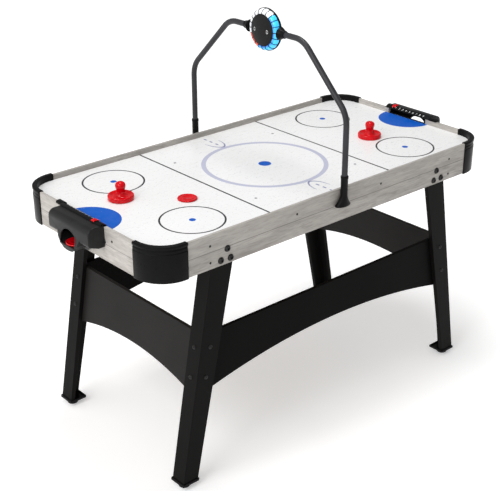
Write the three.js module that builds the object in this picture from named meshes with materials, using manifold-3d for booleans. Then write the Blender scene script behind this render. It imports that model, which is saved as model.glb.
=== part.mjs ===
// Air hockey table: a wooden cabinet with a blown playing surface, moulded corner caps and goal boxes, four splayed
// legs with arched aprons, and a tubular arch that carries an electronic scorer over the middle of the table.
// Millimetres, +Z up. X runs along the table, Y across it, and the origin is on the floor under its middle.
import * as THREE from 'three';
import { mergeVertices } from 'three/addons/utils/BufferGeometryUtils.js';
import Module from 'manifold-3d';

const wasm = await Module();
wasm.setup();

// ---- Driving dimensions -------------------------------------------------------------------------------------------

const GAP = 0.3; // clearance between pieces that touch

const TABLE_LENGTH = 1372;
const TABLE_WIDTH = 676;
const RAIL_TOP = 805;
const SURFACE = 788;
const CABINET_BOTTOM = 701;
const PANEL = 9; // thickness of the side and end panels
const CORNER_RADIUS = 95;

const SHEET = 5; // playing surface board
const PLENUM_DEPTH = 14; // air space under the playing surface
const PLENUM_RAIL = 20;
const PLENUM_INSET = 16;
const BOTTOM_SHEET = 4;
const RIB_PLACE = 300;

const CAP_REACH = 105; // how far a corner cap runs along each side from the corner
const CAP_WALL = 2.3;
const CAP_LIP_PROUD = 3.6;
const CAP_LIP_HEIGHT = 9;
const CAP_INNER_WALL = 2.5;
const CAP_TOP = 808;
const CAP_BOTTOM = 699;

const LEG_BOARD = 15;
const LEG_DEPTH = 54; // width of the leg's end board, across the table
const LEG_TOP = 764;
const LEG_FOOT = 19.3;
const LEG_OUTER_AT_FLOOR = 618.5; // distances along X, at floor level
const LEG_INNER_AT_FLOOR = 565;
const LEG_OUTER_SPLAY = 0.177; // how much X shrinks for each millimetre up
const LEG_INNER_SPLAY = 0.214;

const LEG_CAP = { bottom: 16, floor: 19, top: 24, wall: 3 };
const FOOT = { x: 592, y: 302, pad: 18, padHeight: 15.7, stem: 4, stemTop: 39 };

const APRON = { top: 487, bottom: 303, thickness: 12 };
const END_APRON_RISE = 37;
const SIDE_APRON_RISE = 57;

const LEG_BOLTS = [[443, 747], [467, 717], [432, 716]]; // x and z of the three bolts that hold a leg
const LEG_BOLT = { shaft: 4, head: 9.5, headHeight: 5.5 };
const CLAMP_PLATE = 3;

const ARCH = { y: 352, tube: 9, bore: 7.5, foot: 764, shoulder: 1036, top: 1221, eaves: 166, bend: 80 };
const BRACKET = { bottom: 754, sleeveTop: 850, sleeve: 11.2 };

const SCORER = { z: 1221, rim: 65.5, ringOuter: 62.2, ringInner: 47.5, face: 48, windows: 20 };

const GOAL = { width: 202, reach: 55, top: 810, knee: 756, skirt: 744, foot: 22, wall: 3, mouth: 83, round: 20 };
const SPOUT = { reach: 61, floor: 731.7, leanFrom: 738, lean: 8 / 36, opening: 36, openingTop: 780 };
const STRIP = [[-10, 805.3], [-10, 807.5], [3, 815], [12, 815], [16, 810.3], [0, 810.3], [0, 805.3]];
const SLIDER = { place: 66, length: 15, clearance: 0.5, thickness: 3 };

const MALLET = { radius: 39.5, height: 55.5 };
const PUCK = { radius: 30, thickness: 5 };
const NEAR_MALLET = [-513, 65];
const FAR_MALLET = [433, -49];
const TABLE_PUCK = [-366, -65];

const ROCKER_PIVOT = 2; // depth of the rocker's axis behind the blower's rear face
const BLOWER = { halfX: 60, yMin: -60, yMax: 96, height: 44, bore: 49, impeller: 46.5 };

// ---- Materials ----------------------------------------------------------------------------------------------------

const paint = (color, roughness, metalness = 0) => new THREE.MeshStandardMaterial({ color, roughness, metalness });
const washedWood = paint(0xc9c5bf, 0.6);
const whiteBoard = paint(0xf2f2f0, 0.35);
const rawBoard = paint(0xb08a5e, 0.8);
const blackBoard = paint(0x1d1c1b, 0.55);
const blackPlastic = paint(0x242425, 0.4);
const darkSteel = paint(0x3a3a3d, 0.35, 0.7);
const blackSteel = paint(0x141414, 0.4, 0.6);
const rubber = paint(0x101010, 0.9);
const redPlastic = paint(0xd8101c, 0.25);
const clearPlastic = paint(0xbfe8f2, 0.2);
const circuitGreen = paint(0x1f6b3a, 0.5);
const brushedMetal = paint(0xb5b7ba, 0.35, 0.9);

// ---- Solids -------------------------------------------------------------------------------------------------------

/** A closed solid from a geometry, whichever way its faces were wound. */
function solid(geometry) {
  const bare = geometry.clone();
  for (const name of Object.keys(bare.attributes)) {
    if (name !== 'position') bare.deleteAttribute(name);
  }
  const merged = mergeVertices(bare, 1e-4);
  const vertProperties = new Float32Array(merged.attributes.position.array);
  const triangles = [];
  let volume = 0;
  const corner = (i) => new THREE.Vector3().fromArray(vertProperties, i * 3);
  for (let i = 0; i < merged.index.count; i += 3) {
    const [a, b, c] = [0, 1, 2].map((k) => merged.index.getX(i + k));
    if (a === b || b === c || c === a) continue;
    triangles.push([a, b, c]);
    volume += corner(a).dot(corner(b).cross(corner(c)));
  }
  if (volume < 0) triangles.forEach((t) => t.reverse());
  const triVerts = new Uint32Array(triangles.flat());
  return new wasm.Manifold(new wasm.Mesh({ numProp: 3, vertProperties, triVerts }));
}

/** A geometry from a solid. */
function geometryOf(body) {
  const mesh = body.getMesh();
  const geometry = new THREE.BufferGeometry();
  geometry.setAttribute('position', new THREE.BufferAttribute(mesh.vertProperties, 3));
  geometry.setIndex(new THREE.BufferAttribute(mesh.triVerts, 1));
  geometry.computeVertexNormals();
  return geometry;
}

const join = (bodies) => bodies.reduce((a, b) => a.add(b));
const cut = (body, tools) => tools.reduce((a, b) => a.subtract(b), body);

function outline(points) {
  return new THREE.Shape(points.map(([x, y]) => new THREE.Vector2(x, y)));
}

function extrude(shape, depth, curveSegments) {
  return new THREE.ExtrudeGeometry(shape, { depth, bevelEnabled: false, curveSegments });
}

/** An outline in X and Y between two heights. */
function slabZ(shape, z0, z1, curveSegments = 8) {
  return solid(extrude(shape, z1 - z0, curveSegments).translate(0, 0, z0));
}

/** An outline in X and Z between two places along Y. */
function slabY(shape, y0, y1, curveSegments = 8) {
  return solid(extrude(shape, y1 - y0, curveSegments).rotateX(Math.PI / 2).translate(0, y1, 0));
}

/** An outline in Y and Z between two places along X, leaning by `lean` millimetres of X for each one up. */
function slabX(shape, x0, x1, curveSegments = 8, lean = 0) {
  const turn = new THREE.Matrix4().set(0, 0, 1, x0, 1, 0, 0, 0, 0, 1, 0, 0, 0, 0, 0, 1);
  const shear = new THREE.Matrix4().set(1, 0, lean, 0, 0, 1, 0, 0, 0, 0, 1, 0, 0, 0, 0, 1);
  return solid(extrude(shape, x1 - x0, curveSegments).applyMatrix4(turn).applyMatrix4(shear));
}

function box(x0, x1, y0, y1, z0, z1) {
  const geometry = new THREE.BoxGeometry(x1 - x0, y1 - y0, z1 - z0);
  return solid(geometry.translate((x0 + x1) / 2, (y0 + y1) / 2, (z0 + z1) / 2));
}

/** A round bar along one axis, from one place to another, with its centre line through the two other coordinates. */
function bar(axis, radius, from, to, across, segments = 16, endRadius = radius) {
  const geometry = new THREE.CylinderGeometry(endRadius, radius, to - from, segments);
  const middle = (from + to) / 2;
  const [u, v] = across;
  if (axis === 'x') return solid(geometry.rotateZ(-Math.PI / 2).translate(middle, u, v));
  if (axis === 'y') return solid(geometry.translate(u, middle, v));
  return solid(geometry.rotateX(Math.PI / 2).translate(u, v, middle));
}

/** A turned body about the Z axis, from a profile of radius and height. */
function turned(profile, segments) {
  const points = profile.map(([r, z]) => new THREE.Vector2(r, z));
  return solid(new THREE.LatheGeometry(points, segments).rotateX(Math.PI / 2));
}

function moved(body, x, y, z) {
  return solid(geometryOf(body).translate(x, y, z));
}

/** The same body on another side of the table. */
function mirrored(body, sideX, sideY) {
  return solid(geometryOf(body).scale(sideX, sideY, 1));
}

function roundedRectangle(halfX, halfY, radius) {
  const shape = new THREE.Shape();
  const corners = [[1, 1, 0], [-1, 1, 1], [-1, -1, 2], [1, -1, 3]];
  for (const [sx, sy, quarter] of corners) {
    const start = (quarter * Math.PI) / 2;
    shape.absarc(sx * (halfX - radius), sy * (halfY - radius), radius, start, start + Math.PI / 2, false);
  }
  shape.closePath();
  return shape;
}

// ---- Assembly -----------------------------------------------------------------------------------------------------

const table = new THREE.Group();
const ENDS = [['left', -1], ['right', 1]];
const SIDES = [['front', -1], ['rear', 1]];

function place(parent, name, body, material) {
  const mesh = new THREE.Mesh(geometryOf(body), material);
  mesh.name = name;
  parent.add(mesh);
  return mesh;
}

const HALF_LENGTH = TABLE_LENGTH / 2;
const HALF_WIDTH = TABLE_WIDTH / 2;
const PANEL_HALF_X = HALF_LENGTH - CORNER_RADIUS; // the panels stop where the rounded corners start
const PANEL_HALF_Y = HALF_WIDTH - CORNER_RADIUS;

// ---- Cabinet ------------------------------------------------------------------------------------------------------

function sidePanel() {
  const board = box(-PANEL_HALF_X, PANEL_HALF_X, -HALF_WIDTH, -HALF_WIDTH + PANEL, CABINET_BOTTOM, RAIL_TOP);
  const holes = [];
  for (const side of [-1, 1]) {
    for (const [x, z] of LEG_BOLTS) {
      const hole = bar('y', LEG_BOLT.shaft + 2 * GAP, -HALF_WIDTH - 1, -HALF_WIDTH + PANEL + 1, [side * x, z], 8);
      holes.push(hole);
    }
  }
  return cut(board, holes);
}

/** The end board, notched at the top where pucks pass over it into the goal box. */
function endPanel() {
  const board = box(HALF_LENGTH - PANEL, HALF_LENGTH, -PANEL_HALF_Y, PANEL_HALF_Y, CABINET_BOTTOM, RAIL_TOP);
  const mouth = GOAL.mouth + 3;
  return cut(board, [box(HALF_LENGTH - PANEL - 1, HALF_LENGTH + 1, -mouth, mouth, SURFACE - SHEET, RAIL_TOP + 1)]);
}

function innerPlan(inset) {
  return roundedRectangle(HALF_LENGTH - inset, HALF_WIDTH - inset, CORNER_RADIUS - inset);
}

function addCabinet() {
  const playfield = slabZ(innerPlan(PANEL + GAP), SURFACE - SHEET, SURFACE, 6);
  place(table, 'playfield', playfield, whiteBoard);

  const plenumTop = SURFACE - SHEET - GAP;
  const plenumBottom = plenumTop - PLENUM_DEPTH;
  const frame = innerPlan(PLENUM_INSET);
  frame.holes.push(innerPlan(PLENUM_INSET + PLENUM_RAIL));
  place(table, 'plenum_frame', slabZ(frame, plenumBottom, plenumTop, 3), rawBoard);

  const sheetTop = plenumBottom - GAP;
  const sheet = slabZ(innerPlan(PANEL + GAP), sheetTop - BOTTOM_SHEET, sheetTop, 4);
  const airHole = bar('z', BLOWER.bore, sheetTop - BOTTOM_SHEET - 1, sheetTop + 1, [0, 0], 20);
  place(table, 'bottom_panel', cut(sheet, [airHole]), rawBoard);

  const ribReach = HALF_WIDTH - PLENUM_INSET - PLENUM_RAIL - GAP;
  for (const [name, side] of ENDS) {
    const middle = side * RIB_PLACE;
    const rib = box(middle - 8, middle + 8, -ribReach, ribReach, plenumBottom, plenumTop);
    place(table, `plenum_rib_${name}`, rib, rawBoard);
  }

  for (const [name, side] of SIDES) place(table, `${name}_side_panel`, mirrored(sidePanel(), 1, -side), washedWood);
  for (const [name, side] of ENDS) place(table, `${name}_end_panel`, mirrored(endPanel(), side, 1), washedWood);
  return sheetTop - BOTTOM_SHEET;
}

// ---- Corner caps --------------------------------------------------------------------------------------------------

/** The plan of a wall round the +X +Y corner, between two distances out from the cabinet's outer line. */
function cornerPlan(outer, inner) {
  const x = HALF_LENGTH - CORNER_RADIUS;
  const y = HALF_WIDTH - CORNER_RADIUS;
  const startX = HALF_LENGTH - CAP_REACH;
  const startY = HALF_WIDTH - CAP_REACH;
  const shape = new THREE.Shape();
  shape.moveTo(HALF_LENGTH + outer, startY);
  shape.absarc(x, y, CORNER_RADIUS + outer, 0, Math.PI / 2, false);
  shape.lineTo(startX, HALF_WIDTH + outer);
  shape.lineTo(startX, HALF_WIDTH + inner);
  shape.absarc(x, y, CORNER_RADIUS + inner, Math.PI / 2, 0, true);
  shape.lineTo(HALF_LENGTH + inner, startY);
  shape.closePath();
  return shape;
}

function cornerCap() {
  const insideFace = -PANEL - GAP;
  const deepest = insideFace - CAP_INNER_WALL;
  const lipStart = CAP_TOP - CAP_LIP_HEIGHT;
  return join([
    slabZ(cornerPlan(CAP_LIP_PROUD, deepest), RAIL_TOP + GAP, CAP_TOP, 6),
    slabZ(cornerPlan(CAP_LIP_PROUD, GAP), lipStart, RAIL_TOP + 1, 6),
    slabZ(cornerPlan(CAP_WALL, GAP), CAP_BOTTOM, lipStart + 1, 6),
    slabZ(cornerPlan(insideFace, deepest), SURFACE + GAP, RAIL_TOP + 1, 6),
  ]);
}

function addCornerCaps() {
  const cap = cornerCap();
  for (const [end, sideX] of ENDS) {
    for (const [side, sideY] of SIDES) {
      place(table, `corner_cap_${side}_${end}`, mirrored(cap, sideX, sideY), blackPlastic);
    }
  }
}

// ---- Legs ---------------------------------------------------------------------------------------------------------

const legOuterX = (z) => LEG_OUTER_AT_FLOOR - LEG_OUTER_SPLAY * z;
const legInnerX = (z) => LEG_INNER_AT_FLOOR - LEG_INNER_SPLAY * z;
const LEG_FACE = HALF_WIDTH - PANEL - GAP; // outer face of a leg, against the inside of the side panel
const LEG_SIDE_INNER = LEG_FACE - LEG_BOARD;

/** The leg's tapering outline in X and Z, grown outwards by `grow`. */
function legOutline(z0, z1, grow) {
  return outline([
    [legInnerX(z0) - grow, z0],
    [legOuterX(z0) + grow, z0],
    [legOuterX(z1) + grow, z1],
    [legInnerX(z1) - grow, z1],
  ]);
}

/** Two boards that meet in an L at the outside corner: the tapering side board and the narrow end board. */
function leg() {
  const sideBoard = slabY(legOutline(LEG_FOOT, LEG_TOP, 0), LEG_SIDE_INNER, LEG_FACE);
  const endBoard = slabY(
    outline([
      [legOuterX(LEG_FOOT) - LEG_BOARD, LEG_FOOT],
      [legOuterX(LEG_FOOT), LEG_FOOT],
      [legOuterX(LEG_TOP), LEG_TOP],
      [legOuterX(LEG_TOP) - LEG_BOARD, LEG_TOP],
    ]),
    LEG_FACE - LEG_DEPTH,
    LEG_FACE,
  );
  const holes = LEG_BOLTS.map(([x, z]) => (
    bar('y', LEG_BOLT.shaft + 2 * GAP, LEG_SIDE_INNER - 1, LEG_FACE + 1, [x, z], 8)
  ));
  return cut(join([sideBoard, endBoard]), holes);
}

/** The moulded shoe on a leg's end, with a hole for the levelling foot's stem. */
function legCap() {
  const { bottom, floor, top, wall } = LEG_CAP;
  const shell = slabY(legOutline(bottom, top, wall), LEG_FACE - LEG_DEPTH - wall, LEG_FACE + wall);
  const pocket = slabY(legOutline(floor, top + 1, GAP), LEG_FACE - LEG_DEPTH - GAP, LEG_FACE + GAP);
  const hole = bar('z', FOOT.stem + GAP, bottom - 1, floor + 1, [FOOT.x, FOOT.y], 12);
  return cut(shell, [pocket, hole]);
}

function levelerFoot() {
  const { pad, padHeight, stem, stemTop } = FOOT;
  return turned([
    [0, 0], [pad - 1.5, 0], [pad, 3], [pad, padHeight - 4], [pad - 5, padHeight - GAP],
    [stem, padHeight - GAP], [stem, stemTop], [0, stemTop],
  ], 14);
}

/** Three bolts through the side panel and the leg, held by one clamp plate on the inside. */
function legBolts() {
  const plateInner = LEG_SIDE_INNER - GAP - CLAMP_PLATE;
  const plate = slabY(
    outline([[422, 706], [474, 706], [466, 756], [422, 756]]),
    plateInner,
    plateInner + CLAMP_PLATE,
  );
  const { shaft, head, headHeight } = LEG_BOLT;
  const headStart = HALF_WIDTH + GAP;
  const bolts = LEG_BOLTS.flatMap(([x, z]) => [
    bar('y', shaft, plateInner + 1, headStart + 1, [x, z], 8),
    bar('y', head, headStart, headStart + headHeight, [x, z], 12, head * 0.7),
  ]);
  return join([plate, ...bolts]);
}

function addLegs() {
  const pieces = [
    ['leg', leg(), blackBoard],
    ['leg_cap', legCap(), blackPlastic],
    ['leg_bolts', legBolts(), blackSteel],
  ];
  const foot = levelerFoot();
  for (const [end, sideX] of ENDS) {
    for (const [side, sideY] of SIDES) {
      for (const [name, body, material] of pieces) {
        place(table, `${name}_${side}_${end}`, mirrored(body, sideX, sideY), material);
      }
      const mesh = place(table, `leveler_foot_${side}_${end}`, foot, rubber);
      mesh.position.set(sideX * FOOT.x, sideY * FOOT.y, 0);
    }
  }
}

// ---- Aprons -------------------------------------------------------------------------------------------------------

/** A board with a straight top edge and an arched bottom edge that springs from `spring` on each side. */
function apronOutline(topHalf, bottomHalf, spring, rise) {
  const radius = (spring ** 2 + rise ** 2) / (2 * rise);
  const centre = APRON.bottom + rise - radius;
  const half = Math.asin(spring / radius);
  const shape = new THREE.Shape();
  shape.moveTo(topHalf, APRON.top);
  shape.lineTo(-topHalf, APRON.top);
  shape.lineTo(-bottomHalf, APRON.bottom);
  shape.lineTo(-spring, APRON.bottom);
  shape.absarc(0, centre, radius, Math.PI / 2 + half, Math.PI / 2 - half, true);
  shape.lineTo(bottomHalf, APRON.bottom);
  shape.closePath();
  return shape;
}

function addAprons() {
  const endSpring = LEG_FACE - LEG_DEPTH;
  const endHalf = LEG_SIDE_INNER - GAP;
  const endFace = LEG_OUTER_AT_FLOOR - LEG_BOARD - GAP;
  const endOutline = apronOutline(endHalf, endHalf, endSpring, END_APRON_RISE);
  const endApron = slabX(endOutline, endFace - APRON.thickness, endFace, 16, -LEG_OUTER_SPLAY);
  for (const [name, side] of ENDS) place(table, `${name}_end_apron`, mirrored(endApron, side, 1), blackBoard);

  const sideHalf = (z) => endFace - APRON.thickness - GAP - LEG_OUTER_SPLAY * z;
  const sideOutline = apronOutline(
    sideHalf(APRON.top),
    sideHalf(APRON.bottom),
    legInnerX(APRON.bottom),
    SIDE_APRON_RISE,
  );
  const sideFace = LEG_SIDE_INNER - GAP;
  const sideApron = slabY(sideOutline, sideFace - APRON.thickness, sideFace, 20);
  for (const [name, side] of SIDES) place(table, `${name}_side_apron`, mirrored(sideApron, 1, side), blackBoard);
}

// ---- Arch ---------------------------------------------------------------------------------------------------------

/** A circular arc from one point to another in the plane X = 0, about a centre. */
class Bend extends THREE.Curve {
  constructor(centre, from, to) {
    super();
    this.centre = centre;
    this.start = from.clone().sub(centre);
    this.end = to.clone().sub(centre);
    this.angle = this.start.angleTo(this.end);
  }

  getPoint(t, target = new THREE.Vector3()) {
    const total = Math.sin(this.angle);
    const a = Math.sin((1 - t) * this.angle) / total;
    const b = Math.sin(t * this.angle) / total;
    return target.copy(this.start).multiplyScalar(a).addScaledVector(this.end, b).add(this.centre);
  }
}

/** Straight runs between the corner points, with a bend of the given radius at each inner corner. */
function bentPath(corners, radius) {
  const path = new THREE.CurvePath();
  let from = corners[0];
  for (let i = 1; i < corners.length - 1; i += 1) {
    const back = corners[i - 1].clone().sub(corners[i]).normalize();
    const on = corners[i + 1].clone().sub(corners[i]).normalize();
    const half = back.angleTo(on) / 2;
    const start = corners[i].clone().addScaledVector(back, radius / Math.tan(half));
    const end = corners[i].clone().addScaledVector(on, radius / Math.tan(half));
    const centre = back.clone().add(on).normalize().multiplyScalar(radius / Math.sin(half)).add(corners[i]);
    path.add(new THREE.LineCurve3(from, start));
    path.add(new Bend(centre, start, end));
    from = end;
  }
  path.add(new THREE.LineCurve3(from, corners[corners.length - 1]));
  return path;
}

/** Half of the arch: a steel tube from the sleeve of its bracket up to the socket of the scorer, on the -Y side. */
function archTube() {
  const reach = SCORER.rim + 4;
  const corners = [
    [-ARCH.y, ARCH.foot], [-ARCH.y, ARCH.shoulder], [-ARCH.eaves, ARCH.top], [-reach, ARCH.top],
  ].map(([y, z]) => new THREE.Vector3(0, y, z));
  const ring = (radius, count) => Array.from({ length: count }, (_, i) => {
    const angle = ((i + 0.5) * 2 * Math.PI) / count;
    return new THREE.Vector2(radius * Math.cos(angle), radius * Math.sin(angle));
  });
  const section = new THREE.Shape(ring(ARCH.tube, 10));
  section.holes.push(new THREE.Path(ring(ARCH.bore, 6).reverse()));
  const options = { steps: 25, bevelEnabled: false, extrudePath: bentPath(corners, ARCH.bend) };
  return solid(new THREE.ExtrudeGeometry(section, options));
}

/** The bracket on the side panel: a flared foot that runs up into the sleeve round the tube. */
function archBracket() {
  const { bottom, sleeveTop, sleeve } = BRACKET;
  const flare = turned([
    [0, bottom], [31, bottom], [29.5, 760], [25, 768], [19, 776], [13.5, 785], [sleeve, 793], [0, 793],
  ], 16);
  const squashed = solid(geometryOf(flare).scale(1, 0.55, 1).translate(0, -ARCH.y + 4, 0));
  const collar = bar('z', sleeve, 772, sleeveTop, [0, -ARCH.y], 16);
  const bore = bar('z', ARCH.tube + GAP, ARCH.foot - GAP, sleeveTop + 1, [0, -ARCH.y], 16);
  const panelSpace = box(-60, 60, -HALF_WIDTH - GAP, -HALF_WIDTH + 60, bottom - 1, sleeveTop + 1);
  return cut(join([squashed, collar]), [bore, panelSpace]);
}

function addArch() {
  for (const [name, side] of SIDES) {
    const half = new THREE.Group();
    half.rotation.z = side < 0 ? 0 : Math.PI;
    table.add(half);
    place(half, `arch_bracket_${name}`, archBracket(), blackPlastic);
    place(half, `arch_tube_${name}`, archTube(), darkSteel);
  }
}

// ---- Scorer -------------------------------------------------------------------------------------------------------

/** The parts of the scorer are turned about Z, with the face up, and its group then lays that axis along -X. */
function scorerHousing() {
  const { rim } = SCORER;
  const shell = turned([
    [0, -24], [30, -24], [50, -19], [60, -11], [rim, -2], [rim, 4], [rim - 2.5, 4],
    [rim - 2.5, -1], [57.5, -8.5], [48, -16], [29, -21], [0, -21],
  ], 28);
  const sockets = [-1, 1].map((side) => {
    const flare = turned([[0, 58], [22, 58], [20, 66], [14, 76], [11.6, 84], [11.6, 90], [0, 90]], 14);
    const laid = geometryOf(flare).rotateX(side * Math.PI / 2);
    return solid(laid);
  });
  const keep = turned([[0, -40], [rim - 2.6, -40], [rim - 2.6, 40], [0, 40]], 28);
  const outside = sockets.map((socket) => cut(socket, [keep]));
  const bores = [-1, 1].map((side) => {
    const bore = new THREE.CylinderGeometry(ARCH.tube + 2 * GAP, ARCH.tube + 2 * GAP, 40, 12);
    return solid(bore.translate(0, side * (SCORER.rim + 3.5 + 20), 0));
  });
  return cut(join([shell, ...outside]), bores);
}

/** The translucent cone of windows between the face and the rim, with a rib between each window and the next. */
function scorerRing() {
  const { ringOuter, ringInner, windows } = SCORER;
  const cone = turned([
    [ringInner, 9], [ringInner + 1.5, 13], [ringOuter - 1.5, 5], [ringOuter - 1, 0], [ringOuter - 3, 0],
    [ringInner, 9],
  ], 20);
  const ribs = Array.from({ length: windows }, (_, i) => {
    const rib = outline([
      [ringInner + 1, 11], [ringInner + 2.2, 14.6], [ringOuter - 0.8, 6.4], [ringOuter - 0.8, 2], [ringOuter - 2.6, 2],
    ]);
    return solid(extrude(rib, 2, 1).translate(0, 0, -1).rotateX(Math.PI / 2).rotateZ((i * 2 * Math.PI) / windows));
  });
  return join([cone, ...ribs]);
}

function scorerFace() {
  return turned([
    [0, 20], [22, 19.4], [38, 17.6], [46, 15], [47.2, 13], [47.2, 4], [45, 4], [45, 13], [37, 15.4], [21, 17.2],
    [0, 17.6],
  ], 20);
}

function scorerBoard() {
  const disc = bar('z', 42, 1, 2.6, [0, 0], 20);
  const digits = [-13, 13].map((y) => box(-11, 11, y - 8, y + 8, 2.4, 9));
  return join([disc, ...digits]);
}

function addScorer() {
  const scorer = new THREE.Group();
  scorer.position.set(0, 0, SCORER.z);
  scorer.rotation.y = -Math.PI / 2;
  table.add(scorer);
  place(scorer, 'scorer_rear_housing', scorerHousing(), blackPlastic);
  place(scorer, 'scorer_light_ring', scorerRing(), clearPlastic);
  place(scorer, 'scorer_front_cover', scorerFace(), blackPlastic);
  place(scorer, 'scorer_circuit_board', scorerBoard(), circuitGreen);
}

// ---- Goal boxes ---------------------------------------------------------------------------------------------------
// Each is modelled for the +X end, with X measured outwards from the end panel, and its group puts it there.

function hoodOutline(inset) {
  const { reach, top, knee, skirt, foot, round } = GOAL;
  const shape = new THREE.Shape();
  const outer = reach - inset;
  const radius = round - inset;
  const start = inset ? -1 : GAP;
  shape.moveTo(start, skirt + inset);
  shape.lineTo(foot - inset / 3, skirt + inset);
  shape.lineTo(outer, knee + inset / 2);
  shape.absarc(reach - round, top - round, radius, 0, Math.PI / 2, false);
  shape.lineTo(start, top - inset);
  shape.closePath();
  return shape;
}

/** The opening that pucks are taken from: flat floor, straight sides and a round top. */
function returnOpening() {
  const { opening, openingTop, floor } = SPOUT;
  const shape = new THREE.Shape();
  shape.moveTo(-opening, floor);
  shape.lineTo(opening, floor);
  const shoulder = openingTop - 28;
  shape.lineTo(opening, shoulder);
  shape.absellipse(0, shoulder, opening, openingTop - shoulder, 0, Math.PI, false, 0);
  shape.closePath();
  return shape;
}

/** A closed outline from its +Y half, listed from the top down. */
function twoSided(half) {
  return outline([...half, ...half.map(([y, z]) => [-y, z]).reverse()]);
}

/** All that lies outside the leaning front of the return scoop, which is moved inwards by `inset`. */
function beforeScoop(inset) {
  const { reach, leanFrom, lean } = SPOUT;
  const front = reach - inset;
  const top = leanFrom + 60;
  const space = outline([[front, leanFrom], [reach + 20, leanFrom], [reach + 20, top], [front - 60 * lean, top]]);
  return slabY(space, -80, 80);
}

function goalBox() {
  const { wall, width, mouth, top } = GOAL;
  const half = width / 2;
  const hood = slabY(hoodOutline(0), -half, half, 5);
  const scoopOutline = twoSided([[60, 774], [54, 757], [46, 741], [35, 727], [20, 718], [8, 716]]);
  const scoop = cut(slabX(scoopOutline, GAP, SPOUT.reach), [beforeScoop(0)]);
  const plateOutline = twoSided([[101, 805], [101, 772], [106, 757], [84, 745], [68, 729], [36, 719], [14, 704]]);
  const backPlate = slabX(plateOutline, GAP, GAP + 4);
  const hollow = slabY(hoodOutline(wall), -half + wall, half - wall, 5);
  const pocketOutline = twoSided([[57, 774], [51, 758], [43.2, 742], [36, SPOUT.floor]]);
  const pocket = cut(slabX(pocketOutline, -1, SPOUT.reach - wall), [beforeScoop(wall)]);
  const opening = slabX(returnOpening(), 20, SPOUT.reach + 2, 6);
  const topSlot = box(-5, 6, -mouth, mouth, SURFACE, top - wall);
  return cut(join([hood, scoop, backPlate]), [hollow, pocket, opening, topSlot]);
}

/** An open line moved sideways by `distance`, with its corners kept sharp. */
function offsetLine(points, distance) {
  const normals = points.slice(1).map(([x, z], i) => {
    const [dx, dz] = [x - points[i][0], z - points[i][1]];
    const length = Math.hypot(dx, dz);
    return [-dz / length, dx / length];
  });
  return points.map(([x, z], i) => {
    const a = normals[Math.max(i - 1, 0)];
    const b = normals[Math.min(i, normals.length - 1)];
    const scale = distance / (1 + a[0] * b[0] + a[1] * b[1]);
    return [x + (a[0] + b[0]) * scale, z + (a[1] + b[1]) * scale];
  });
}

/** The score marker: a saddle over the ridge of the numbered strip. */
function scoreSlider() {
  const ridge = [[-5, 810.4], [3, 815], [12, 815], [13.5, 813.2]];
  const inner = offsetLine(ridge, SLIDER.clearance);
  const outer = offsetLine(ridge, SLIDER.clearance + SLIDER.thickness);
  const start = SLIDER.place - SLIDER.length / 2;
  return slabY(outline([...inner, ...outer.reverse()]), start, start + SLIDER.length);
}

function addGoalEnds() {
  const half = GOAL.width / 2;
  const strip = slabY(outline(STRIP), -half, half);
  const sensorOutline = outline([
    [-11, 805.3], [-11, 810.5], [-7, 814], [4, 814], [8, 810], [8, 807], [1, 805.3],
  ]);
  const sensor = slabY(sensorOutline, half + GAP, half + 32);
  for (const [name, side] of ENDS) {
    const end = new THREE.Group();
    end.position.x = side * HALF_LENGTH;
    end.rotation.z = side < 0 ? Math.PI : 0;
    table.add(end);
    place(end, `goal_box_${name}`, goalBox(), blackPlastic);
    place(end, `score_strip_${name}`, strip, blackPlastic);
    place(end, `score_slider_${name}`, scoreSlider(), redPlastic);
    place(end, `goal_sensor_${name}`, mirrored(sensor, 1, -1), blackPlastic);
  }
}

// ---- Mallets and pucks --------------------------------------------------------------------------------------------

function mallet() {
  const { radius, height } = MALLET;
  return turned([
    [0, 7], [radius - 7, 6], [radius - 6, 0], [radius - 1, 0], [radius, 11], [radius - 3, 15],
    [radius - 8, 12.5], [radius - 13, 10], [18, 10], [12.5, 18], [12.5, 28], [16, 41], [14.5, 49],
    [9, height - 2], [0, height],
  ], 18);
}

function puck() {
  const { radius, thickness } = PUCK;
  return turned([
    [0, 0], [radius - 1, 0], [radius, 1], [radius, thickness - 1], [radius - 1, thickness],
    [radius - 4, thickness], [radius - 5, thickness - 1], [0, thickness - 1],
  ], 20);
}

function addPlayPieces() {
  const rest = SURFACE + GAP;
  const nearMallet = place(table, 'mallet_left', mallet(), redPlastic);
  nearMallet.position.set(...NEAR_MALLET, rest);
  const farMallet = place(table, 'mallet_right', mallet(), redPlastic);
  farMallet.position.set(...FAR_MALLET, rest);
  const tablePuck = place(table, 'puck_on_table', puck(), redPlastic);
  tablePuck.position.set(...TABLE_PUCK, rest);
  const pocketPuck = place(table, 'puck_in_return', puck(), redPlastic);
  pocketPuck.position.set(-HALF_LENGTH - PUCK.radius - 2 * GAP, 0, SPOUT.floor + GAP);
}

// ---- Blower -------------------------------------------------------------------------------------------------------

function fanBlade(index, count) {
  const blade = new THREE.BoxGeometry(BLOWER.impeller - 15, 15, 1.6);
  blade.rotateX(0.6).translate((BLOWER.impeller + 15) / 2, 0, 0);
  return solid(blade.rotateZ((index * 2 * Math.PI) / count));
}

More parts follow.
